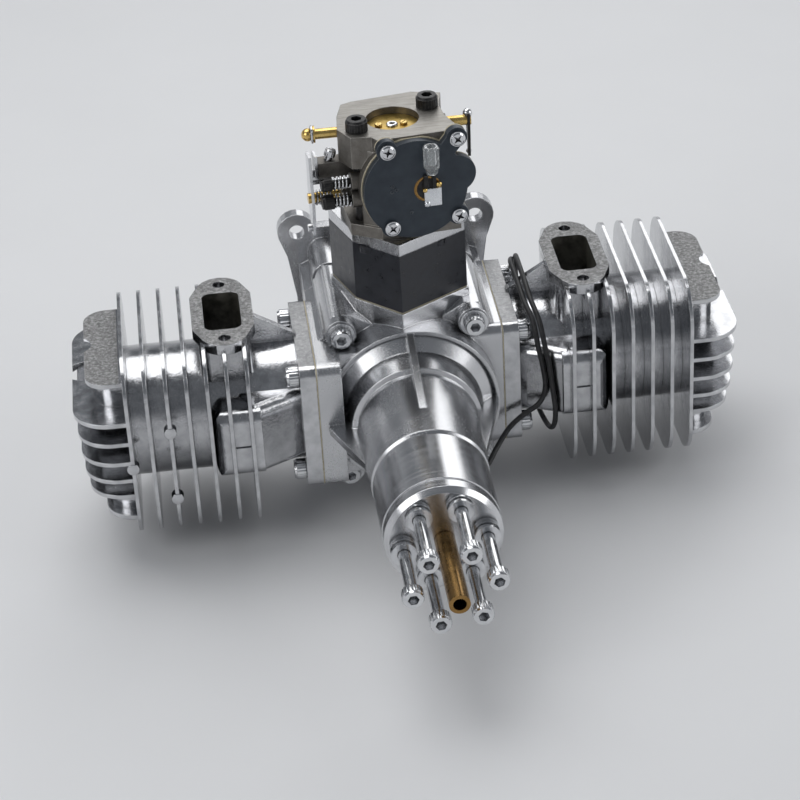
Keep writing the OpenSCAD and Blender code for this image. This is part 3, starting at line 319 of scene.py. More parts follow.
def groundSteel(name, low, high):
    p = Paint(name, metal=1.0)
    cloud = p.noise(2.0 * mm, 4)
    colour = p.shades(cloud, low, high)
    return p.finish(colour, p.spread(cloud, 0.22, 0.4),
                    height=p.noise(0.4 * mm), depth=0.015 * mm, edge=0.3 * mm)


def gasketFibre():
    p = Paint("gasketFibre")
    fibre = p.noise(0.7 * mm, 5, 0.7)
    colour = p.shades(fibre, (0.3, 0.26, 0.17), (0.58, 0.53, 0.4))
    return p.finish(colour, p.spread(fibre, 0.9, 0.7), height=fibre, depth=0.05 * mm)


def blackResin():
    p = Paint("blackResin", **{"Specular IOR Level": 0.55})
    cloud = p.noise(3 * mm, 4)
    grain = p.noise(0.4 * mm, 2)
    body = p.shades(cloud, (0.009, 0.01, 0.014), (0.017, 0.019, 0.026))
    colour = p.mix(p.worn(0.35 * mm) * 0.6, body, (0.06, 0.065, 0.075))
    return p.finish(colour, p.spread(cloud, 0.26, 0.4),
                    height=grain, depth=0.012 * mm, edge=0.5 * mm)


def blackRubber():
    p = Paint("blackRubber")
    dust = p.noise(1.5 * mm, 4)
    colour = p.ramp(dust, (0.35, (0.008, 0.008, 0.009)), (0.75, (0.03, 0.03, 0.032)))
    return p.finish(colour, p.spread(dust, 0.38, 0.6), height=dust, depth=0.02 * mm)


def greyZincCasting():
    p = Paint("greyZincCasting", metal=0.9)
    cloud = p.noise(4 * mm, 4)
    grain = p.noise(0.5 * mm, 4, 0.7)
    skin = p.ramp(cloud * 0.6 + grain * 0.4, (0.32, (0.13, 0.12, 0.105)), (0.68, (0.25, 0.235, 0.215)))
    sweep = p.noise(1.6 * mm, 3, 0.6, (0.2, 2.5, 1))
    milledTop = (p.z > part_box("carb_body")[1].z - 0.1 * mm) * p.spread(sweep, 0.25, 0.7)
    bare = p.worn(0.4 * mm).math("MAXIMUM", milledTop)
    colour = p.mix(bare, skin, (0.44, 0.425, 0.395))
    return p.finish(colour, p.spread(grain, 0.36, 0.52) - bare * 0.1,
                    height=grain + cloud, depth=0.05 * mm, edge=0.5 * mm)


def darkCover():
    p = Paint("darkCover", metal=0.4)
    cloud = p.noise(6 * mm, 3)
    grain = p.noise(0.3 * mm, 2)
    coat = p.shades(cloud, (0.026, 0.034, 0.045), (0.04, 0.051, 0.064))
    colour = p.mix(p.worn(0.3 * mm, 0.97, 0.8), coat, (0.24, 0.25, 0.26))
    return p.finish(colour, p.spread(cloud, 0.3, 0.42),
                    height=grain, depth=0.015 * mm, edge=0.5 * mm)


def blackOxide():
    p = Paint("blackOxide", metal=0.6)
    cloud = p.noise(1.5 * mm, 4)
    dark = p.ramp(cloud, (0.3, (0.012, 0.012, 0.013)), (0.75, (0.04, 0.039, 0.038)))
    colour = p.mix(p.worn(0.2 * mm) * 0.7, dark, (0.16, 0.155, 0.15))
    return p.finish(colour, p.spread(cloud, 0.28, 0.48),
                    height=cloud, depth=0.02 * mm, edge=0.25 * mm)


def yellowMetal(name, low, high, smooth):
    p = Paint(name, metal=1.0)
    cloud = p.noise(5 * mm, 3, 0.5)
    scratch = p.noise(1.2 * mm, 2, 0.5, stretch=(1.0, 0.12, 1.0))
    colour = p.shades(cloud, low, high)
    return p.finish(colour, p.spread(cloud * 0.6 + scratch * 0.4, smooth, smooth + 0.12),
                    height=scratch, depth=0.004 * mm, edge=0.25 * mm)


def milkyPlastic():
    p = Paint("milkyPlastic", **{"Transmission Weight": 0.88, "IOR": 1.42})
    cloud = p.noise(2.5 * mm, 2)
    colour = p.shades(cloud, (0.82, 0.85, 0.86), (0.94, 0.95, 0.95))
    return p.finish(colour, p.spread(cloud, 0.1, 0.2), height=cloud, depth=0.004 * mm)


finishes = {
    "cast_alloy": castCase(),
    "cylinder_alloy": brightCylinder(),
    "machined_alloy": turnedAlloy(),
    "bright_steel": zincSteel(),
    "bearing_steel": groundSteel("bearingSteel", (0.5, 0.5, 0.51), (0.66, 0.66, 0.67)),
    "forged_steel": groundSteel("forgedSteel", (0.3, 0.3, 0.31), (0.5, 0.5, 0.51)),
    "magnet": groundSteel("magnetNickel", (0.4, 0.39, 0.37), (0.55, 0.54, 0.52)),
    "gasket_fibre": gasketFibre(),
    "black_resin": blackResin(),
    "black_rubber": blackRubber(),
    "carb_alloy": greyZincCasting(),
    "cover_paint": darkCover(),
    "black_oxide": blackOxide(),
    "brass": yellowMetal("brass", (0.62, 0.42, 0.13), (0.78, 0.56, 0.21), 0.17),
    "bronze": yellowMetal("bronze", (0.25, 0.145, 0.05), (0.36, 0.215, 0.078), 0.2),
    "clear_plastic": milkyPlastic(),
}
milled = milledAlloy()
discBrass = yellowMetal("discBrass", (0.3, 0.21, 0.05), (0.55, 0.38, 0.11), 0.26)
mirrorPlate = groundSteel("mirrorPlate", (0.72, 0.74, 0.77), (0.84, 0.86, 0.88))
nodeSlot = {row["node"]: row["material_slot"] for row in frame["record"]["subparts"]}
for name, node in nodes.items():
    finish = {"carb_plate": milled, "choke_plate": discBrass}.get(name, finishes[nodeSlot[name]])
    node.data.materials.clear()
    node.data.materials.append(finish)
print("finishes on", len(nodes), "nodes")

# Geometry Nodes shapes, and where the frame's own solids stand


class Shape(Graph):
    def __init__(self, name, **inputs):
        super().__init__(bpy.data.node_groups.new(name, "GeometryNodeTree"))
        kinds = {float: "Float", int: "Int", tuple: "Vector"}
        self.socket("Points", "Geometry")
        for label, value in inputs.items():
            self.socket(label, kinds[type(value)]).default_value = value
        self.socket("Finish", "Material")
        self.socket("Result", "Geometry", "OUTPUT")
        self.given = self.add("NodeGroupInput", {}, {}, None)

    def socket(self, label, kind, side="INPUT"):
        return self.tree.interface.new_socket(label, in_out=side, socket_type="NodeSocket" + kind)

    def read(self, label):
        return Signal(self, self.given.outputs[label])

    def vector(self, x=0.0, y=0.0, z=0.0):
        return self.add("ShaderNodeCombineXYZ", {}, [x, y, z])

    def moved(self, geometry, z):
        return self.add("GeometryNodeTransform", {}, {
            "Geometry": geometry, "Translation": self.vector(z=z)})

    def cylinder(self, sides, radius, low, high):
        body = self.add("GeometryNodeMeshCylinder", {"fill_type": "NGON"},
                        {"Vertices": sides, "Radius": radius, "Depth": high - low})
        return self.moved(body, (high + low) * 0.5)

    def cone(self, sides, wide, narrow, low, high):
        body = self.add("GeometryNodeMeshCone", {"fill_type": "NGON"}, {
            "Vertices": sides, "Radius Bottom": wide, "Radius Top": narrow, "Depth": high - low})
        return self.moved(body, low)

    def fuse(self, *parts):
        union = {"operation": "UNION", "solver": "MANIFOLD"}
        node = self.add("GeometryNodeMeshBoolean", union, {}, None)
        for part in parts:
            self.set(node, {"Mesh 2": part})
        return Signal(self, node.outputs[0])

    def cut(self, body, tool):
        difference = {"operation": "DIFFERENCE", "solver": "MANIFOLD"}
        return self.add("GeometryNodeMeshBoolean", difference, {"Mesh 1": body, "Mesh 2": tool})

    def place(self, piece, twist):
        spin = self.add("FunctionNodeRandomValue", {"data_type": "FLOAT"}, {2: 0.0, 3: twist, "Seed": 4}, 1)
        copies = self.add("GeometryNodeInstanceOnPoints", {}, {
            "Points": self.read("Points"), "Instance": piece, "Rotation": self.vector(z=spin)})
        real = self.add("GeometryNodeRealizeInstances", {}, [copies])
        turned = self.add("GeometryNodeTransform", {}, {"Geometry": real, "Rotation": self.read("Turn")})
        done = self.add("GeometryNodeSetMaterial", {}, {
            "Geometry": turned, "Material": self.read("Finish")})
        self.add("NodeGroupOutput", {}, [done], None)
        return self.tree


def screwShape():
    g = Shape("knurledScrew", Turn=(0.0, 0.0, 0.0), HeadRadius=0.00425, HeadHeight=0.005, Crown=0.85,
              Shank=0.0025, Length=0.02, Socket=0.002, SocketSides=6, SocketDepth=0.85, SocketWidth=1.0,
              Cross=0.0, Washer=0.001, WasherThick=0.001, Knurls=48, Knurl=0.045)
    radius, height = g.read("HeadRadius"), g.read("HeadHeight")
    rimFoot, rimTop, crownFoot = height * 0.03, height * 0.8, height * 0.74
    side = g.cylinder(g.read("Knurls"), radius, rimFoot, rimTop)
    odd = g.add("GeometryNodeInputIndex", {}, {}) % 2.0
    place = g.add("GeometryNodeInputPosition", {}, {})
    flat = g.add("ShaderNodeVectorMath", {"operation": "MULTIPLY"}, [place, (1, 1, 0)])
    pull = g.add("ShaderNodeVectorMath", {"operation": "SCALE"}, {
        "Vector": flat, "Scale": odd * -g.read("Knurl")})
    knurled = g.add("GeometryNodeSetPosition", {}, {"Geometry": side, "Offset": pull})
    crown = g.cone(40, radius * 0.97, radius * g.read("Crown"), crownFoot, height)
    shank = g.cylinder(20, g.read("Shank"), -g.read("Length"), height * 0.3)
    washer = g.cylinder(40, g.read("Washer"), -g.read("WasherThick"), height * 0.05)
    solid = g.fuse(knurled, crown, shank, washer)
    floor = height * (1 - g.read("SocketDepth"))
    hole = g.cylinder(g.read("SocketSides"), g.read("Socket"), floor, height * 1.5)
    slot = g.add("GeometryNodeTransform", {}, {
        "Geometry": hole, "Scale": g.vector(1.0, g.read("SocketWidth"), 1.0)})
    second = g.add("GeometryNodeTransform", {}, {
        "Geometry": slot, "Rotation": g.vector(z=g.read("Cross"))})
    return g.place(g.cut(g.cut(solid, slot), second), math.tau)


def springShape():
    g = Shape("coilSpring", Turn=(0.0, 0.0, 0.0), Radius=0.003, Wire=0.0004, Length=0.008, Turns=4.0)
    path = g.add("GeometryNodeCurveSpiral", {}, {
        "Resolution": 24, "Rotations": g.read("Turns"), "Start Radius": g.read("Radius"),
        "End Radius": g.read("Radius"), "Height": g.read("Length")})
    wire = g.add("GeometryNodeCurvePrimitiveCircle", {}, {"Resolution": 10, "Radius": g.read("Wire")})
    coil = g.add("GeometryNodeCurveToMesh", {}, {"Curve": path, "Profile Curve": wire, "Fill Caps": True})
    return g.place(coil, 0.0)


def tidyMesh(mesh, sharpFrom=35):
    work = bmesh.new()
    work.from_mesh(mesh)
    bmesh.ops.remove_doubles(work, verts=work.verts, dist=0.002 * mm)
    bmesh.ops.recalc_face_normals(work, faces=work.faces)
    for face in work.faces:
        face.smooth = True
    work.to_mesh(mesh)
    work.free()
    mesh.set_sharp_from_angle(angle=math.radians(sharpFrom))


def addPiece(name, mesh, slot, body="engine", stands=(), finish=None):
    tidyMesh(mesh)
    mesh.materials.clear()
    mesh.materials.append(finish or finishes[slot])
    piece = bpy.data.objects.new(name, mesh)
    bpy.context.scene.collection.objects.link(piece)
    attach(piece, body)
    if stands:
        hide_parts(*stands)
    return piece


def solidsOf(nodeName):
    work = bmesh.new()
    work.from_mesh(nodes[nodeName].data)
    bmesh.ops.remove_doubles(work, verts=work.verts, dist=0.001 * mm)
    seen, groups = set(), []
    for start in work.verts:  # in the mesh's own order, so that every run finds the same first solid
        if start in seen:
            continue
        seen.add(start)
        group, queue = [], [start]
        while queue:
            vert = queue.pop()
            group.append(vert.co.copy())
            near = {edge.other_vert(vert) for edge in vert.link_edges} - seen
            seen |= near
            queue.extend(near)
        groups.append(group)
    work.free()
    return groups


def standing(group, axis):
    along = Vector(axis).normalized()
    turn = along.to_track_quat("Z", "Y").to_matrix()
    local = [turn.transposed() @ p for p in group]
    low = Vector([min(p[i] for p in local) for i in range(3)])
    high = Vector([max(p[i] for p in local) for i in range(3)])
    return low, high, turn


# One shape on every solid of the named nodes and on free spots, or with whole one along the node
def growShape(name, tree, nodeNames, axis, values, body, slot, headHeight=0.0, whole=False, spots=()):
    turn = standing([Vector()], axis)[2]
    places = [tuple(turn.transposed() @ spot) for spot in spots]
    for nodeName in nodeNames:
        groups = solidsOf(nodeName)
        for group in ([sum(groups, [])] if whole else groups):
            low, high, turn = standing(group, axis)
            base = low.z if whole else high.z - headHeight
            places.append((*((low + high) / 2).xy, base))
            values = {**values, "Length": high.z - base if whole else base - low.z}
    start = bpy.data.meshes.new(name + "Places")
    start.from_pydata(places, [], [])
    holder = bpy.data.objects.new(name + "Holder", start)
    bpy.context.scene.collection.objects.link(holder)
    modifier = holder.modifiers.new("grow", "NODES")
    modifier.node_group = tree
    values = {**values, "Turn": tuple(turn.to_euler()), "Finish": finishes[slot]}
    for item in tree.interface.items_tree:
        if item.in_out == "INPUT" and item.name in values:
            modifier[item.identifier] = values[item.name]
    shown = holder.evaluated_get(bpy.context.evaluated_depsgraph_get())
    mesh = bpy.data.meshes.new_from_object(shown)
    mesh.name = name
    bpy.data.objects.remove(holder)
    return addPiece(name, mesh, slot, body, nodeNames)


knurledScrew = screwShape()
coilSpring = springShape()


class Solid:
    def __init__(self, place=Matrix()):
        self.work = bmesh.new()
        self.place = place

    def take(self, part):
        bmesh.ops.transform(part, matrix=self.place, verts=part.verts)
        kept = bpy.data.meshes.new("part")
        part.to_mesh(kept)
        part.free()
        self.work.from_mesh(kept)
        bpy.data.meshes.remove(kept)

    def box(self, low, high, edge=0.3, steps=3, narrow=(1, 1)):
        part = bmesh.new()
        bmesh.ops.create_cube(part, size=1)
        for vert in part.verts:
            for i in range(3):
                vert.co[i] = (low[i] if vert.co[i] < 0 else high[i]) * mm
            if vert.co.z > (low[2] + high[2]) / 2 * mm:
                for i in range(2):
                    middle = (low[i] + high[i]) / 2 * mm
                    vert.co[i] = middle + (vert.co[i] - middle) * narrow[i]
        bmesh.ops.bevel(part, geom=part.edges[:], offset=edge * mm, segments=steps, profile=0.5,
                        affect="EDGES", clamp_overlap=True)
        self.take(part)

    def turned(self, profile, at, axis, sides=40):
        part = bmesh.new()
        turn = Vector(axis).to_track_quat("Z", "Y").to_matrix().to_4x4()
        turn.translation = Vector(at) * mm
        rings = []
        for radius, height in profile:
            ring = []
            for i in range(sides):
                a = math.tau * i / sides
                spot = Vector((radius * mm * math.cos(a), radius * mm * math.sin(a), height * mm))
                ring.append(part.verts.new(turn @ spot))
            rings.append(ring)
        for first, second in zip(rings, rings[1:] + rings[:1]):
            for i in range(sides):
                j = (i + 1) % sides
                part.faces.new((first[i], first[j], second[j], second[i]))
        bmesh.ops.remove_doubles(part, verts=part.verts, dist=0.001 * mm)
        self.take(part)

    def button(self, radius, low, top, at, axis, drop=0.4, inset=0.5, sides=20):
        outline = [(0, low), (radius, low), (radius, top - drop), (radius - inset, top), (0, top)]
        self.turned(outline, at, axis, sides)

    def piece(self, name, slot, **rest):
        made = bpy.data.meshes.new(name)
        self.work.to_mesh(made)
        self.work.free()
        return addPiece(name, made, slot, **rest)


# The carburettor stands a little turned, and what sits on it is placed in its own frame

carbFrame = {"turn": 6.0, "x": 0.5, "y": -1.5, "z": 72.9}


def carbPlace(values):
    place = Matrix.Rotation(math.radians(values["turn"]), 4, "Z")
    place.translation = fromCrank(values["x"], values["y"], values["z"])
    return place


def carbAxis(right, back, up):
    return carbPlace(carbFrame).to_3x3() @ Vector((right, back, up))


# Screws: every set takes its places and lengths from the frame's own solids, or from its spots

slottedHead = {"SocketSides": 4, "SocketWidth": 0.06, "SocketDepth": 0.3, "Knurl": 0.05, "Knurls": 40}
crossedHead = {"SocketSides": 4, "SocketWidth": 0.3, "SocketDepth": 0.75, "Cross": math.pi / 2,
               "Crown": 0.72, "Knurl": 0.0}
idleLean = math.radians(20)
usualScrew = {  # a socket screw, for what a set doesn't say
    "nodes": [], "spots": [], "body": "engine", "slot": "bright_steel", "head": 5.0, "radius": 4.25,
    "shank": 2.4, "length": 3.0, "socket": 2.2, "washer": 0.4, "washerThick": 0.9, "drive": {},
}
screwSets = {
    "propScrews": {"nodes": ["prop_screws"], "axis": (0, -1, 0), "body": "crank", "shank": 2.45},
    "caseScrews": {"nodes": ["case_screws"], "axis": (0, -1, 0), "head": 4.1, "washer": 5.7},
    "leftFootScrews": {"nodes": ["left_cylinder_screws"], "axis": (-1, 0, 0)},
    "rightFootScrews": {"nodes": ["right_cylinder_screws"], "axis": (1, 0, 0)},
    "carbScrews": {
        "nodes": ["carb_screws"], "axis": (0, 0, 1), "slot": "black_oxide", "radius": 4.4, "socket": 2.3},
    "coverScrews": {
        "nodes": ["cover_screws"], "axis": carbAxis(0, -1, 0), "head": 2.2, "radius": 3.1, "shank": 1.5,
        "drive": crossedHead},
    "highNeedleScrew": {
        "nodes": ["high_needle"], "axis": carbAxis(-1, 0, 0), "body": "high_needle",
        "slot": "black_oxide", "head": 4.4, "radius": 2.9, "shank": 1.45, "socket": 8.7,
        "drive": slottedHead},
    "lowNeedleScrew": {
        "nodes": ["low_needle"], "axis": carbAxis(-1, 0, 0), "body": "low_needle",
        "slot": "black_oxide", "head": 4.8, "radius": 3.1, "shank": 1.45, "socket": 9.3,
        "drive": slottedHead},
    "idleSpeedScrew": {
        "nodes": ["idle_screw"], "axis": carbAxis(math.sin(idleLean), 0, math.cos(idleLean)),
        "body": "idle_screw", "head": 2.9, "radius": 2.3, "shank": 1.5, "socket": 6.9,
        "drive": slottedHead},
    "chokeDiscScrews": {
        "nodes": ["choke_screws"], "axis": (0, 0, 1), "body": "choke", "slot": "brass", "head": 0.8,
        "radius": 1.5, "shank": 0.7, "socket": 4.5, "drive": slottedHead},
    "backCoverScrew": {
        "spots": [(4.2, 21.0, 93.0)], "axis": carbAxis(0, 1, 0), "head": 1.7, "radius": 2.7,
        "shank": 1.215, "socket": 1.89, "drive": crossedHead},
    "pickUpScrews": {
        "spots": [(0, -78.6, -29.4), (0, -88.4, -29.4)], "axis": (0, 0, -1), "head": 1.3, "radius": 1.9,
        "shank": 0.855, "length": 4.0, "socket": 1.33, "drive": crossedHead},
}


def makeScrews(name, v):
    sizes = {"HeadRadius": "radius", "HeadHeight": "head", "Shank": "shank", "Length": "length",
             "Socket": "socket", "Washer": "washer", "WasherThick": "washerThick"}
    values = {label: v[size] * mm for label, size in sizes.items()}
    growShape(name, knurledScrew, v["nodes"], v["axis"], {**values, **v["drive"]}, v["body"], v["slot"],
              v["head"] * mm, spots=[fromCrank(*spot) for spot in v["spots"]])


for name, kind in screwSets.items():
    makeScrews(name, {**usualScrew, **kind})
print("screws:", ", ".join(screwSets))

coilSprings = {
    "highSpring": {"node": "high_spring", "radius": 2.45, "wire": 0.42, "turns": 4.5},
    "lowSpring": {"node": "low_spring", "radius": 2.45, "wire": 0.42, "turns": 4.5},
    "throttleCoil": {"node": "throttle_spring", "radius": 2.8, "wire": 0.36, "turns": 5.5},
}
for name, kind in coilSprings.items():
    growShape(name, coilSpring, [kind["node"]], carbAxis(-1, 0, 0), {
        "Radius": kind["radius"] * mm, "Wire": kind["wire"] * mm, "Turns": kind["turns"]},
        "engine", "bright_steel", whole=True)
print("springs:", ", ".join(coilSprings))

# Small parts on the carburettor's front cover

coverParts = {
    "face": -21.8,  # the cover's front, in the carburettor's frame
    "elbowX": 9.4, "elbowFoot": 29.6, "elbowTop": 41.6, "elbowRadius": 3.15, "elbowBore": 1.5,
    "elbowOut": 4.1, "boreFloor": 4.4, "inletUp": 3.4,
    "wellX": 8.3, "wellZ": 21.6, "wellRadius": 5.5, "rimWidth": 1.1,
    "plateX": 10.2, "plateZ": 17.8, "plateHalf": 3.5, "plateOut": 0.75,
    "clearance": 0.05,  # between the cover and what lies on it
    "clips": [  # from the plate's middle: left, right, foot, top, reach, edge, narrowing
        (-3.9, -1.5, 4.6, 10.2, 1.7, 0.6, 0.7), (-0.2, 1.5, 4.4, 9.4, 1.5, 0.5, 1)],
    "jets": [  # from the plate's middle: across, up, radius, height, chamfer's height and width
        (2.4, 5.6, 1.1, 2.0, 0.4, 0.5), (-3.2, 3.6, 0.9, 1.6, 0.3, 0.4)],
    "pips": [(-5.6, 24.4), (-4.2, 22.8), (-6.0, 22.2), (1.4, 12.2)],
}
outwards = (0, -1, 0)


def makeElbow(v, place):
    elbow = Solid(place)
    x, face, foot, r, bore = (v[k] for k in ("elbowX", "face", "elbowFoot", "elbowRadius", "elbowBore"))
    tall = v["elbowTop"] - foot
    tube = [(0, 3.6), (0, 0), (1.7, 0), (2.3, 0.6), (2.5, 2.4), (r, 3.2), (r, tall - 0.7),
            (r - 0.5, tall), (bore + 0.4, tall), (bore, tall - 0.5), (bore, v["boreFloor"])]
    elbow.turned(tube, (x, face - v["elbowOut"], foot), (0, 0, 1))
    elbow.button(2.4, 0.1, 1.8, (x, face, foot + v["inletUp"]), outwards, inset=0.4, sides=40)
    elbow.piece("fuelElbow", "clear_plastic", stands=["fuel_nipple"])


def makeWell(v, place):
    middle, r = (v["wellX"], v["face"], v["wellZ"]), v["wellRadius"]
    inner = r - v["rimWidth"]
    rim = Solid(place)
    rim.turned([(inner, -0.1), (r, -0.1), (r, 0.1), (r - 0.3, 0.28), (inner + 0.2, 0.24), (inner, 0.1)],
               middle, outwards, 56)
    rim.piece("coverRim", "bronze")
    x, face, z, half = v["plateX"], v["face"], v["plateZ"], v["plateHalf"]
    tall, back = half + 0.4, face - v["clearance"]
    plate = Solid(place)
    plate.box((x - half, face - v["plateOut"], z - tall), (x + half, back, z + tall), 0.35)
    plate.button(1.2, 0.3, 1.5, (x - half + 1.1, face, z - half + 0.9), outwards)
    plate.piece("coverWindow", "bright_steel", finish=mirrorPlate)
    clip = Solid(place)
    floor = inner + 0.05
    clip.turned([(0, -0.1), (floor, -0.1), (floor, 0.08), (0, 0.12)], middle, outwards, 48)
    for left, right, low, top, out, edge, narrow in v["clips"]:
        clip.box((x + left, face - out, z + low), (x + right, back, z + top), edge, 4, (narrow, 1))
    clip.piece("coverClip", "black_oxide")
    jets = Solid(place)
    for across, up, radius, height, drop, inset in v["jets"]:
        jets.button(radius, 0.1, height, (x + across, face, z + up), outwards, drop, inset)
    jets.piece("coverJets", "brass")


def makePips(v, place):
    pips = Solid(place)
    ring = [(0.35, -0.05), (0.8, -0.05), (0.8, 0.18), (0.6, 0.25), (0.35, 0.25)]
    for x, z in v["pips"]:
        pips.turned(ring, (x, v["face"], z), outwards, 16)
    pips.piece("coverPips", "cover_paint")


coverPlace = carbPlace(carbFrame)
makeElbow(coverParts, coverPlace)
makeWell(coverParts, coverPlace)
makePips(coverParts, coverPlace)
print("cover: elbow, rim, window, clip, jets, pips")

# Steel ends of the choke's shaft, and the screw ring on its disc

chokeEnds = {
    "axisY": -1.5, "axisZ": 112.5, "clipX": -31.6, "clipRadius": 3.75, "clipBore": 2.1,
    "rivetX": 30.3, "rivetUp": 2.9, "rivetRadius": 1.9, "tipDown": 13.6, "tipRadius": 1.1,
    "ringX": 0.3, "ringRadius": 2.3, "ringBore": 0.9, "ringUp": 0.85,
}


def ballOutline(radius, steps=10):
    turns = [math.pi * i / steps - math.pi / 2 for i in range(steps + 1)]
    outline = [(radius * math.cos(t), radius * math.sin(t)) for t in turns[1:-1]]
    return [(0, -radius), *outline, (0, radius)]


def makeChokeEnds(v):
    steel = Solid(Matrix.Translation(fromCrank(0, v["axisY"], v["axisZ"])))
    r, bore = v["clipRadius"], v["clipBore"]
    steel.turned([(bore, -0.5), (r - 0.3, -0.5), (r, -0.2), (r, 0.2), (r - 0.3, 0.5), (bore, 0.5)],
                 (v["clipX"], 0, 0), (1, 0, 0), 48)
    steel.turned(ballOutline(v["rivetRadius"]), (v["rivetX"], 0, v["rivetUp"]), (1, 0, 0), 24)
    steel.turned(ballOutline(v["tipRadius"]), (v["rivetX"], 0, -v["tipDown"]), (1, 0, 0), 20)
    r, bore, low, top = v["ringRadius"], v["ringBore"], v["ringUp"] - 0.1, v["ringUp"] + 0.8
    steel.turned([(bore, low), (r, low), (r, top - 0.3), (r - 0.4, top), (bore + 0.3, top),
                  (bore, top - 0.3)], (v["ringX"], 0, 0), (0, 0, 1), 36)
    steel.piece("chokeSteel", "bright_steel", body="choke")


makeChokeEnds(chokeEnds)
print("choke: clip, rivet, tip, ring")

# Round marks that the mould's pins left on the fins' front edges

pinMarks = {
    "radius": 2.5, "flat": 2.0, "front": 0.35, "chamfer": 0.3, "deep": 4.0,
    "places": [(-98.8, 12.0), (-98.8, -19.0), (-115.0, -3.0)],
}


def makePinMarks(v):
    marks = Solid()
    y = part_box("left_cylinder")[0].y / mm - v["front"]
    r, deep = v["radius"], v["deep"]
    for x, z in v["places"]:
        marks.turned([(0, 0), (v["flat"], 0), (r, v["chamfer"]), (r, deep), (0, deep)], (x, y, z),
                     (0, 1, 0), 28)
    marks.piece("finPinMarks", "cylinder_alloy")


makePinMarks(pinMarks)
print("pin marks on the left fins")

# Sensor lead: a curve along the route, which winds round the right cylinder's neck

sensorLead = {
    "radius": 1.1, "steps": 6,  # steps of the curve between two points of the route
    "route": [
        (3, -73.3, -27.5), (5, -66, -28), (12, -57, -28.5), (21, -49, -27.5), (28, -41, -25),
        (33.5, -33, -21.5), (39.5, -28, -16), (46.5, -25.6, -11.5), (52.6, -24.4, -8),
        (55.4, -23.9, -1), (54.6, -23.3, 9), (53, -22.6, 18), (51.8, -18.5, 27.6), (50, -8, 31.3),
        (49.5, 3, 33), (49.3, 15, 33.2), (49.8, 28, 31), (51.9, 38.6, 25.5), (51.8, 41.6, 15),
        (52.2, 41.6, 1), (53.2, 41.8, -13), (54.2, 37, -24), (55.4, 27, -28.8), (56.6, 12, -29.4),
        (57.6, -4, -28.6), (58.4, -16, -25.5), (59, -23.6, -19), (59, -26, -10), (58, -25.6, 0),
        (57, -25.2, 10), (55.6, -24.2, 18.5), (54.2, -19, 28), (52.5, -8.5, 32.4), (51.9, 3, 34.9),
        (51.8, 15, 35.1), (52.4, 29, 32.4), (53.6, 39.5, 26), (54.2, 44.4, 17), (54.6, 45.2, 9),
        (54.6, 45.2, 3)],
}


def spline(points, i, t):
    a, b = points[max(i - 1, 0)], points[i]
    c, d = points[i + 1], points[min(i + 2, len(points) - 1)]
    return (b + t / 2 * (c - a) + t * t * (a - 2.5 * b + 2 * c - d / 2)
            + t ** 3 * (1.5 * (b - c) + (d - a) / 2))


connector = {  # a flat housing at the lead's end
    "x": 54.6, "y": 45.2, "top": 3.0, "foot": -11.0, "halfWidth": 3.9, "halfDepth": 1.25,
    "shoulder": -1.6, "neckTop": 1.0, "collarRadius": 1.75, "collarFoot": 0.4, "latchHalf": 1.5,
    "grips": 4, "gripX": 3.0, "gripPitch": 1.5, "contacts": 3, "contactPitch": 2.2,
}


def makeConnector(v):
    wide, deep, foot, shoulder = (v[k] for k in ("halfWidth", "halfDepth", "foot", "shoulder"))
    place = Matrix.Translation(fromCrank(v["x"], v["y"], 0))
    housing = Solid(place)
    housing.box((-wide, -deep, foot), (wide, deep, shoulder), 0.4)
    neckWide, neckDeep = wide - 1.1, deep - 0.15
    housing.box((-neckWide, -neckDeep, shoulder - 0.5), (neckWide, neckDeep, v["neckTop"]), 0.4,
                narrow=(0.7, 1))
    housing.button(v["collarRadius"], 0, v["top"] - v["collarFoot"], (0, 0, v["collarFoot"]), (0, 0, 1),
                   drop=1.2, inset=0.25, sides=28)
    latch = v["latchHalf"]
    housing.box((-latch, deep - 0.2, foot + 1.6), (latch, deep + 0.3, shoulder - 0.9), 0.2)
    for i in range(v["grips"]):
        z = shoulder - 1.6 - i * v["gripPitch"]
        for x in (-v["gripX"], v["gripX"]):
            housing.box((x - 0.7, deep - 0.2, z - 0.3), (x + 0.7, deep + 0.2, z + 0.3), 0.12)
    shell = housing.piece("leadConnector", nodeSlot["sensor_plug"], stands=["sensor_plug"])
    metal = Solid(place)
    cup = [(0.35, -0.3), (0.7, -0.3), (0.75, 0.05), (0.6, 0.2), (0.35, 0.1)]
    for i in range(v["contacts"]):
        x = (i - (v["contacts"] - 1) / 2) * v["contactPitch"]
        metal.turned(cup, (x, 0, foot), (0, 0, -1), 16)
    contacts = metal.piece("leadContacts", "brass")
    print("connector:", v["contacts"], "contacts")
    return [shell, contacts]


def makeLead(values, end):
    route = [fromCrank(*p) for p in values["route"]]
    steps = values["steps"]
    path = [spline(route, i, t / steps) for i in range(len(route) - 1) for t in range(steps)]
    path.append(route[-1])
    curve = bpy.data.curves.new("leadWire", "CURVE")
    curve.dimensions = "3D"
    curve.bevel_depth = values["radius"] * mm
    curve.bevel_resolution = 4
    curve.use_fill_caps = True
    line = curve.splines.new("POLY")
    line.points.add(len(path) - 1)
    for point, place in zip(line.points, path):
        point.co = (*place, 1)
    curve.materials.append(finishes["black_rubber"])
    lead = bpy.data.objects.new("leadWire", curve)
    bpy.context.scene.collection.objects.link(lead)
    length = sum((b - a).length for a, b in zip(path, path[1:]))
    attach(lead, "engine")
    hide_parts("sensor_lead")
    print("lead:", round(length, 4), "m")


makeLead(sensorLead, makeConnector(connector))

# Studio: pale floor, soft lamps, an even world

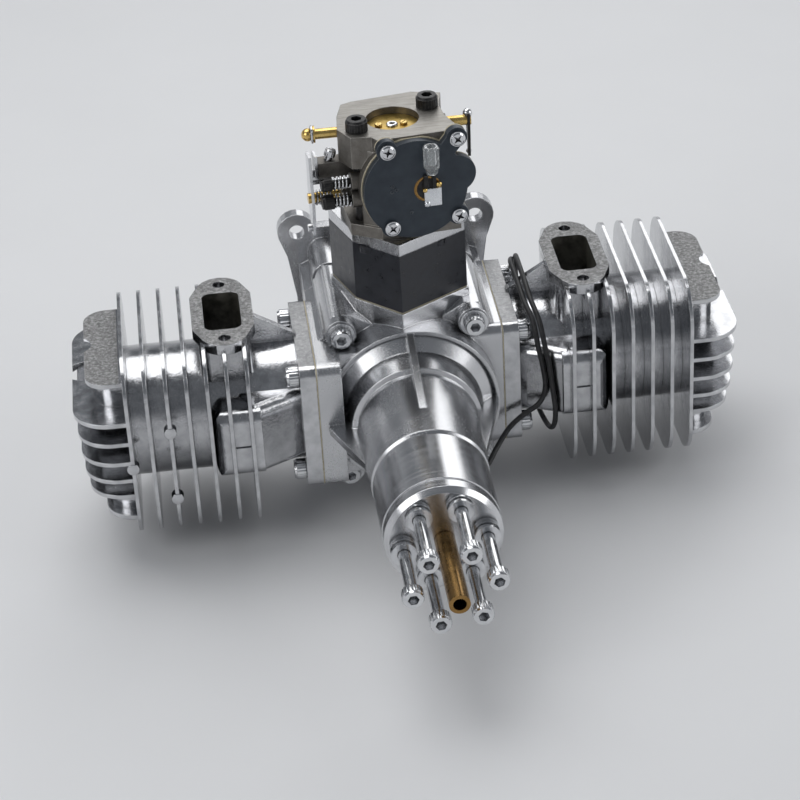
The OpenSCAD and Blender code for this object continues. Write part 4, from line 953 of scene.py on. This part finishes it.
studio = {
    "floorHalf": 6.0, "floor": (0.74, 0.745, 0.755), "toneSize": 60 * mm, "dimmer": 0.985,
    "far": (0.41, 0.418, 0.43), "farFrom": 0.9, "farTo": 3.0,
    "horizon": (0.6, 0.61, 0.63), "sky": (0.17, 0.18, 0.195), "horizonHeight": 0.05, "skyHeight": 0.4,
    "lamps": [  # name, place, size, power
        ("overhead", (-0.25, 0.3, 1.1), 0.95, 7.5),
        ("leftSide", (-1.0, -0.75, 0.8), 0.75, 5.0),
        ("rightSide", (1.1, -0.4, 0.6), 0.7, 3.5),
        ("behind", (0.4, 1.1, 0.8), 0.8, 3.5),
    ],
}


def lightStudio(values):
    low = min(p.z for p in (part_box(n)[0] for n in nodes))
    mesh = bpy.data.meshes.new("floor")
    half = values["floorHalf"]
    mesh.from_pydata([(-half, -half, low), (half, -half, low), (half, half, low), (-half, half, low)],
                     [], [(0, 1, 2, 3)])
    floor = bpy.data.objects.new("floor", mesh)
    p = Paint("floorPaper", rough=0.6, colour=values["floor"], **{"Emission Strength": 1.0})
    tone = p.noise(values["toneSize"], 3)
    dim = [c * values["dimmer"] for c in values["floor"]]
    rays = [p.add("ShaderNodeLightPath", {}, {}, kind) for kind in (
        "Is Camera Ray", "Is Glossy Ray", "Is Transmission Ray")]
    seen = (rays[0] + rays[1] + rays[2]).math("MINIMUM", 1.0)
    away = p.between(((p.x * p.x) + (p.y * p.y)) ** 0.5, values["farFrom"], values["farTo"])
    p.set(p.shader, {"Emission Color": p.mix(seen * away, (0, 0, 0), values["far"])})
    mesh.materials.append(p.finish(p.shades(tone, dim, values["floor"])))
    bpy.context.scene.collection.objects.link(floor)
    world = bpy.data.worlds.new("studio")
    world.use_nodes = True
    sky = Graph(world.node_tree)
    toward = sky.add("ShaderNodeTexCoord", {}, {}, "Generated")
    rise = sky.add("ShaderNodeSeparateXYZ", {}, [toward], "Z")
    lift = sky.between(rise, values["horizonHeight"], values["skyHeight"])
    shade = sky.mix(lift, values["horizon"], values["sky"])
    sky.set(world.node_tree.nodes["Background"], {"Color": shade, "Strength": 1.0})
    bpy.context.scene.world = world
    for name, place, size, power in values["lamps"]:
        data = bpy.data.lights.new(name, "AREA")
        data.shape = "SQUARE"
        data.size = size
        data.energy = power
        lamp = bpy.data.objects.new(name, data)
        lamp.location = place
        aim = Vector((0, crankY, 0)) - Vector(place)
        lamp.rotation_euler = aim.to_track_quat("-Z", "Y").to_euler()
        bpy.context.scene.collection.objects.link(lamp)
    bpy.context.scene.view_settings.view_transform = "Standard"


lightStudio(studio)
print("studio lit")
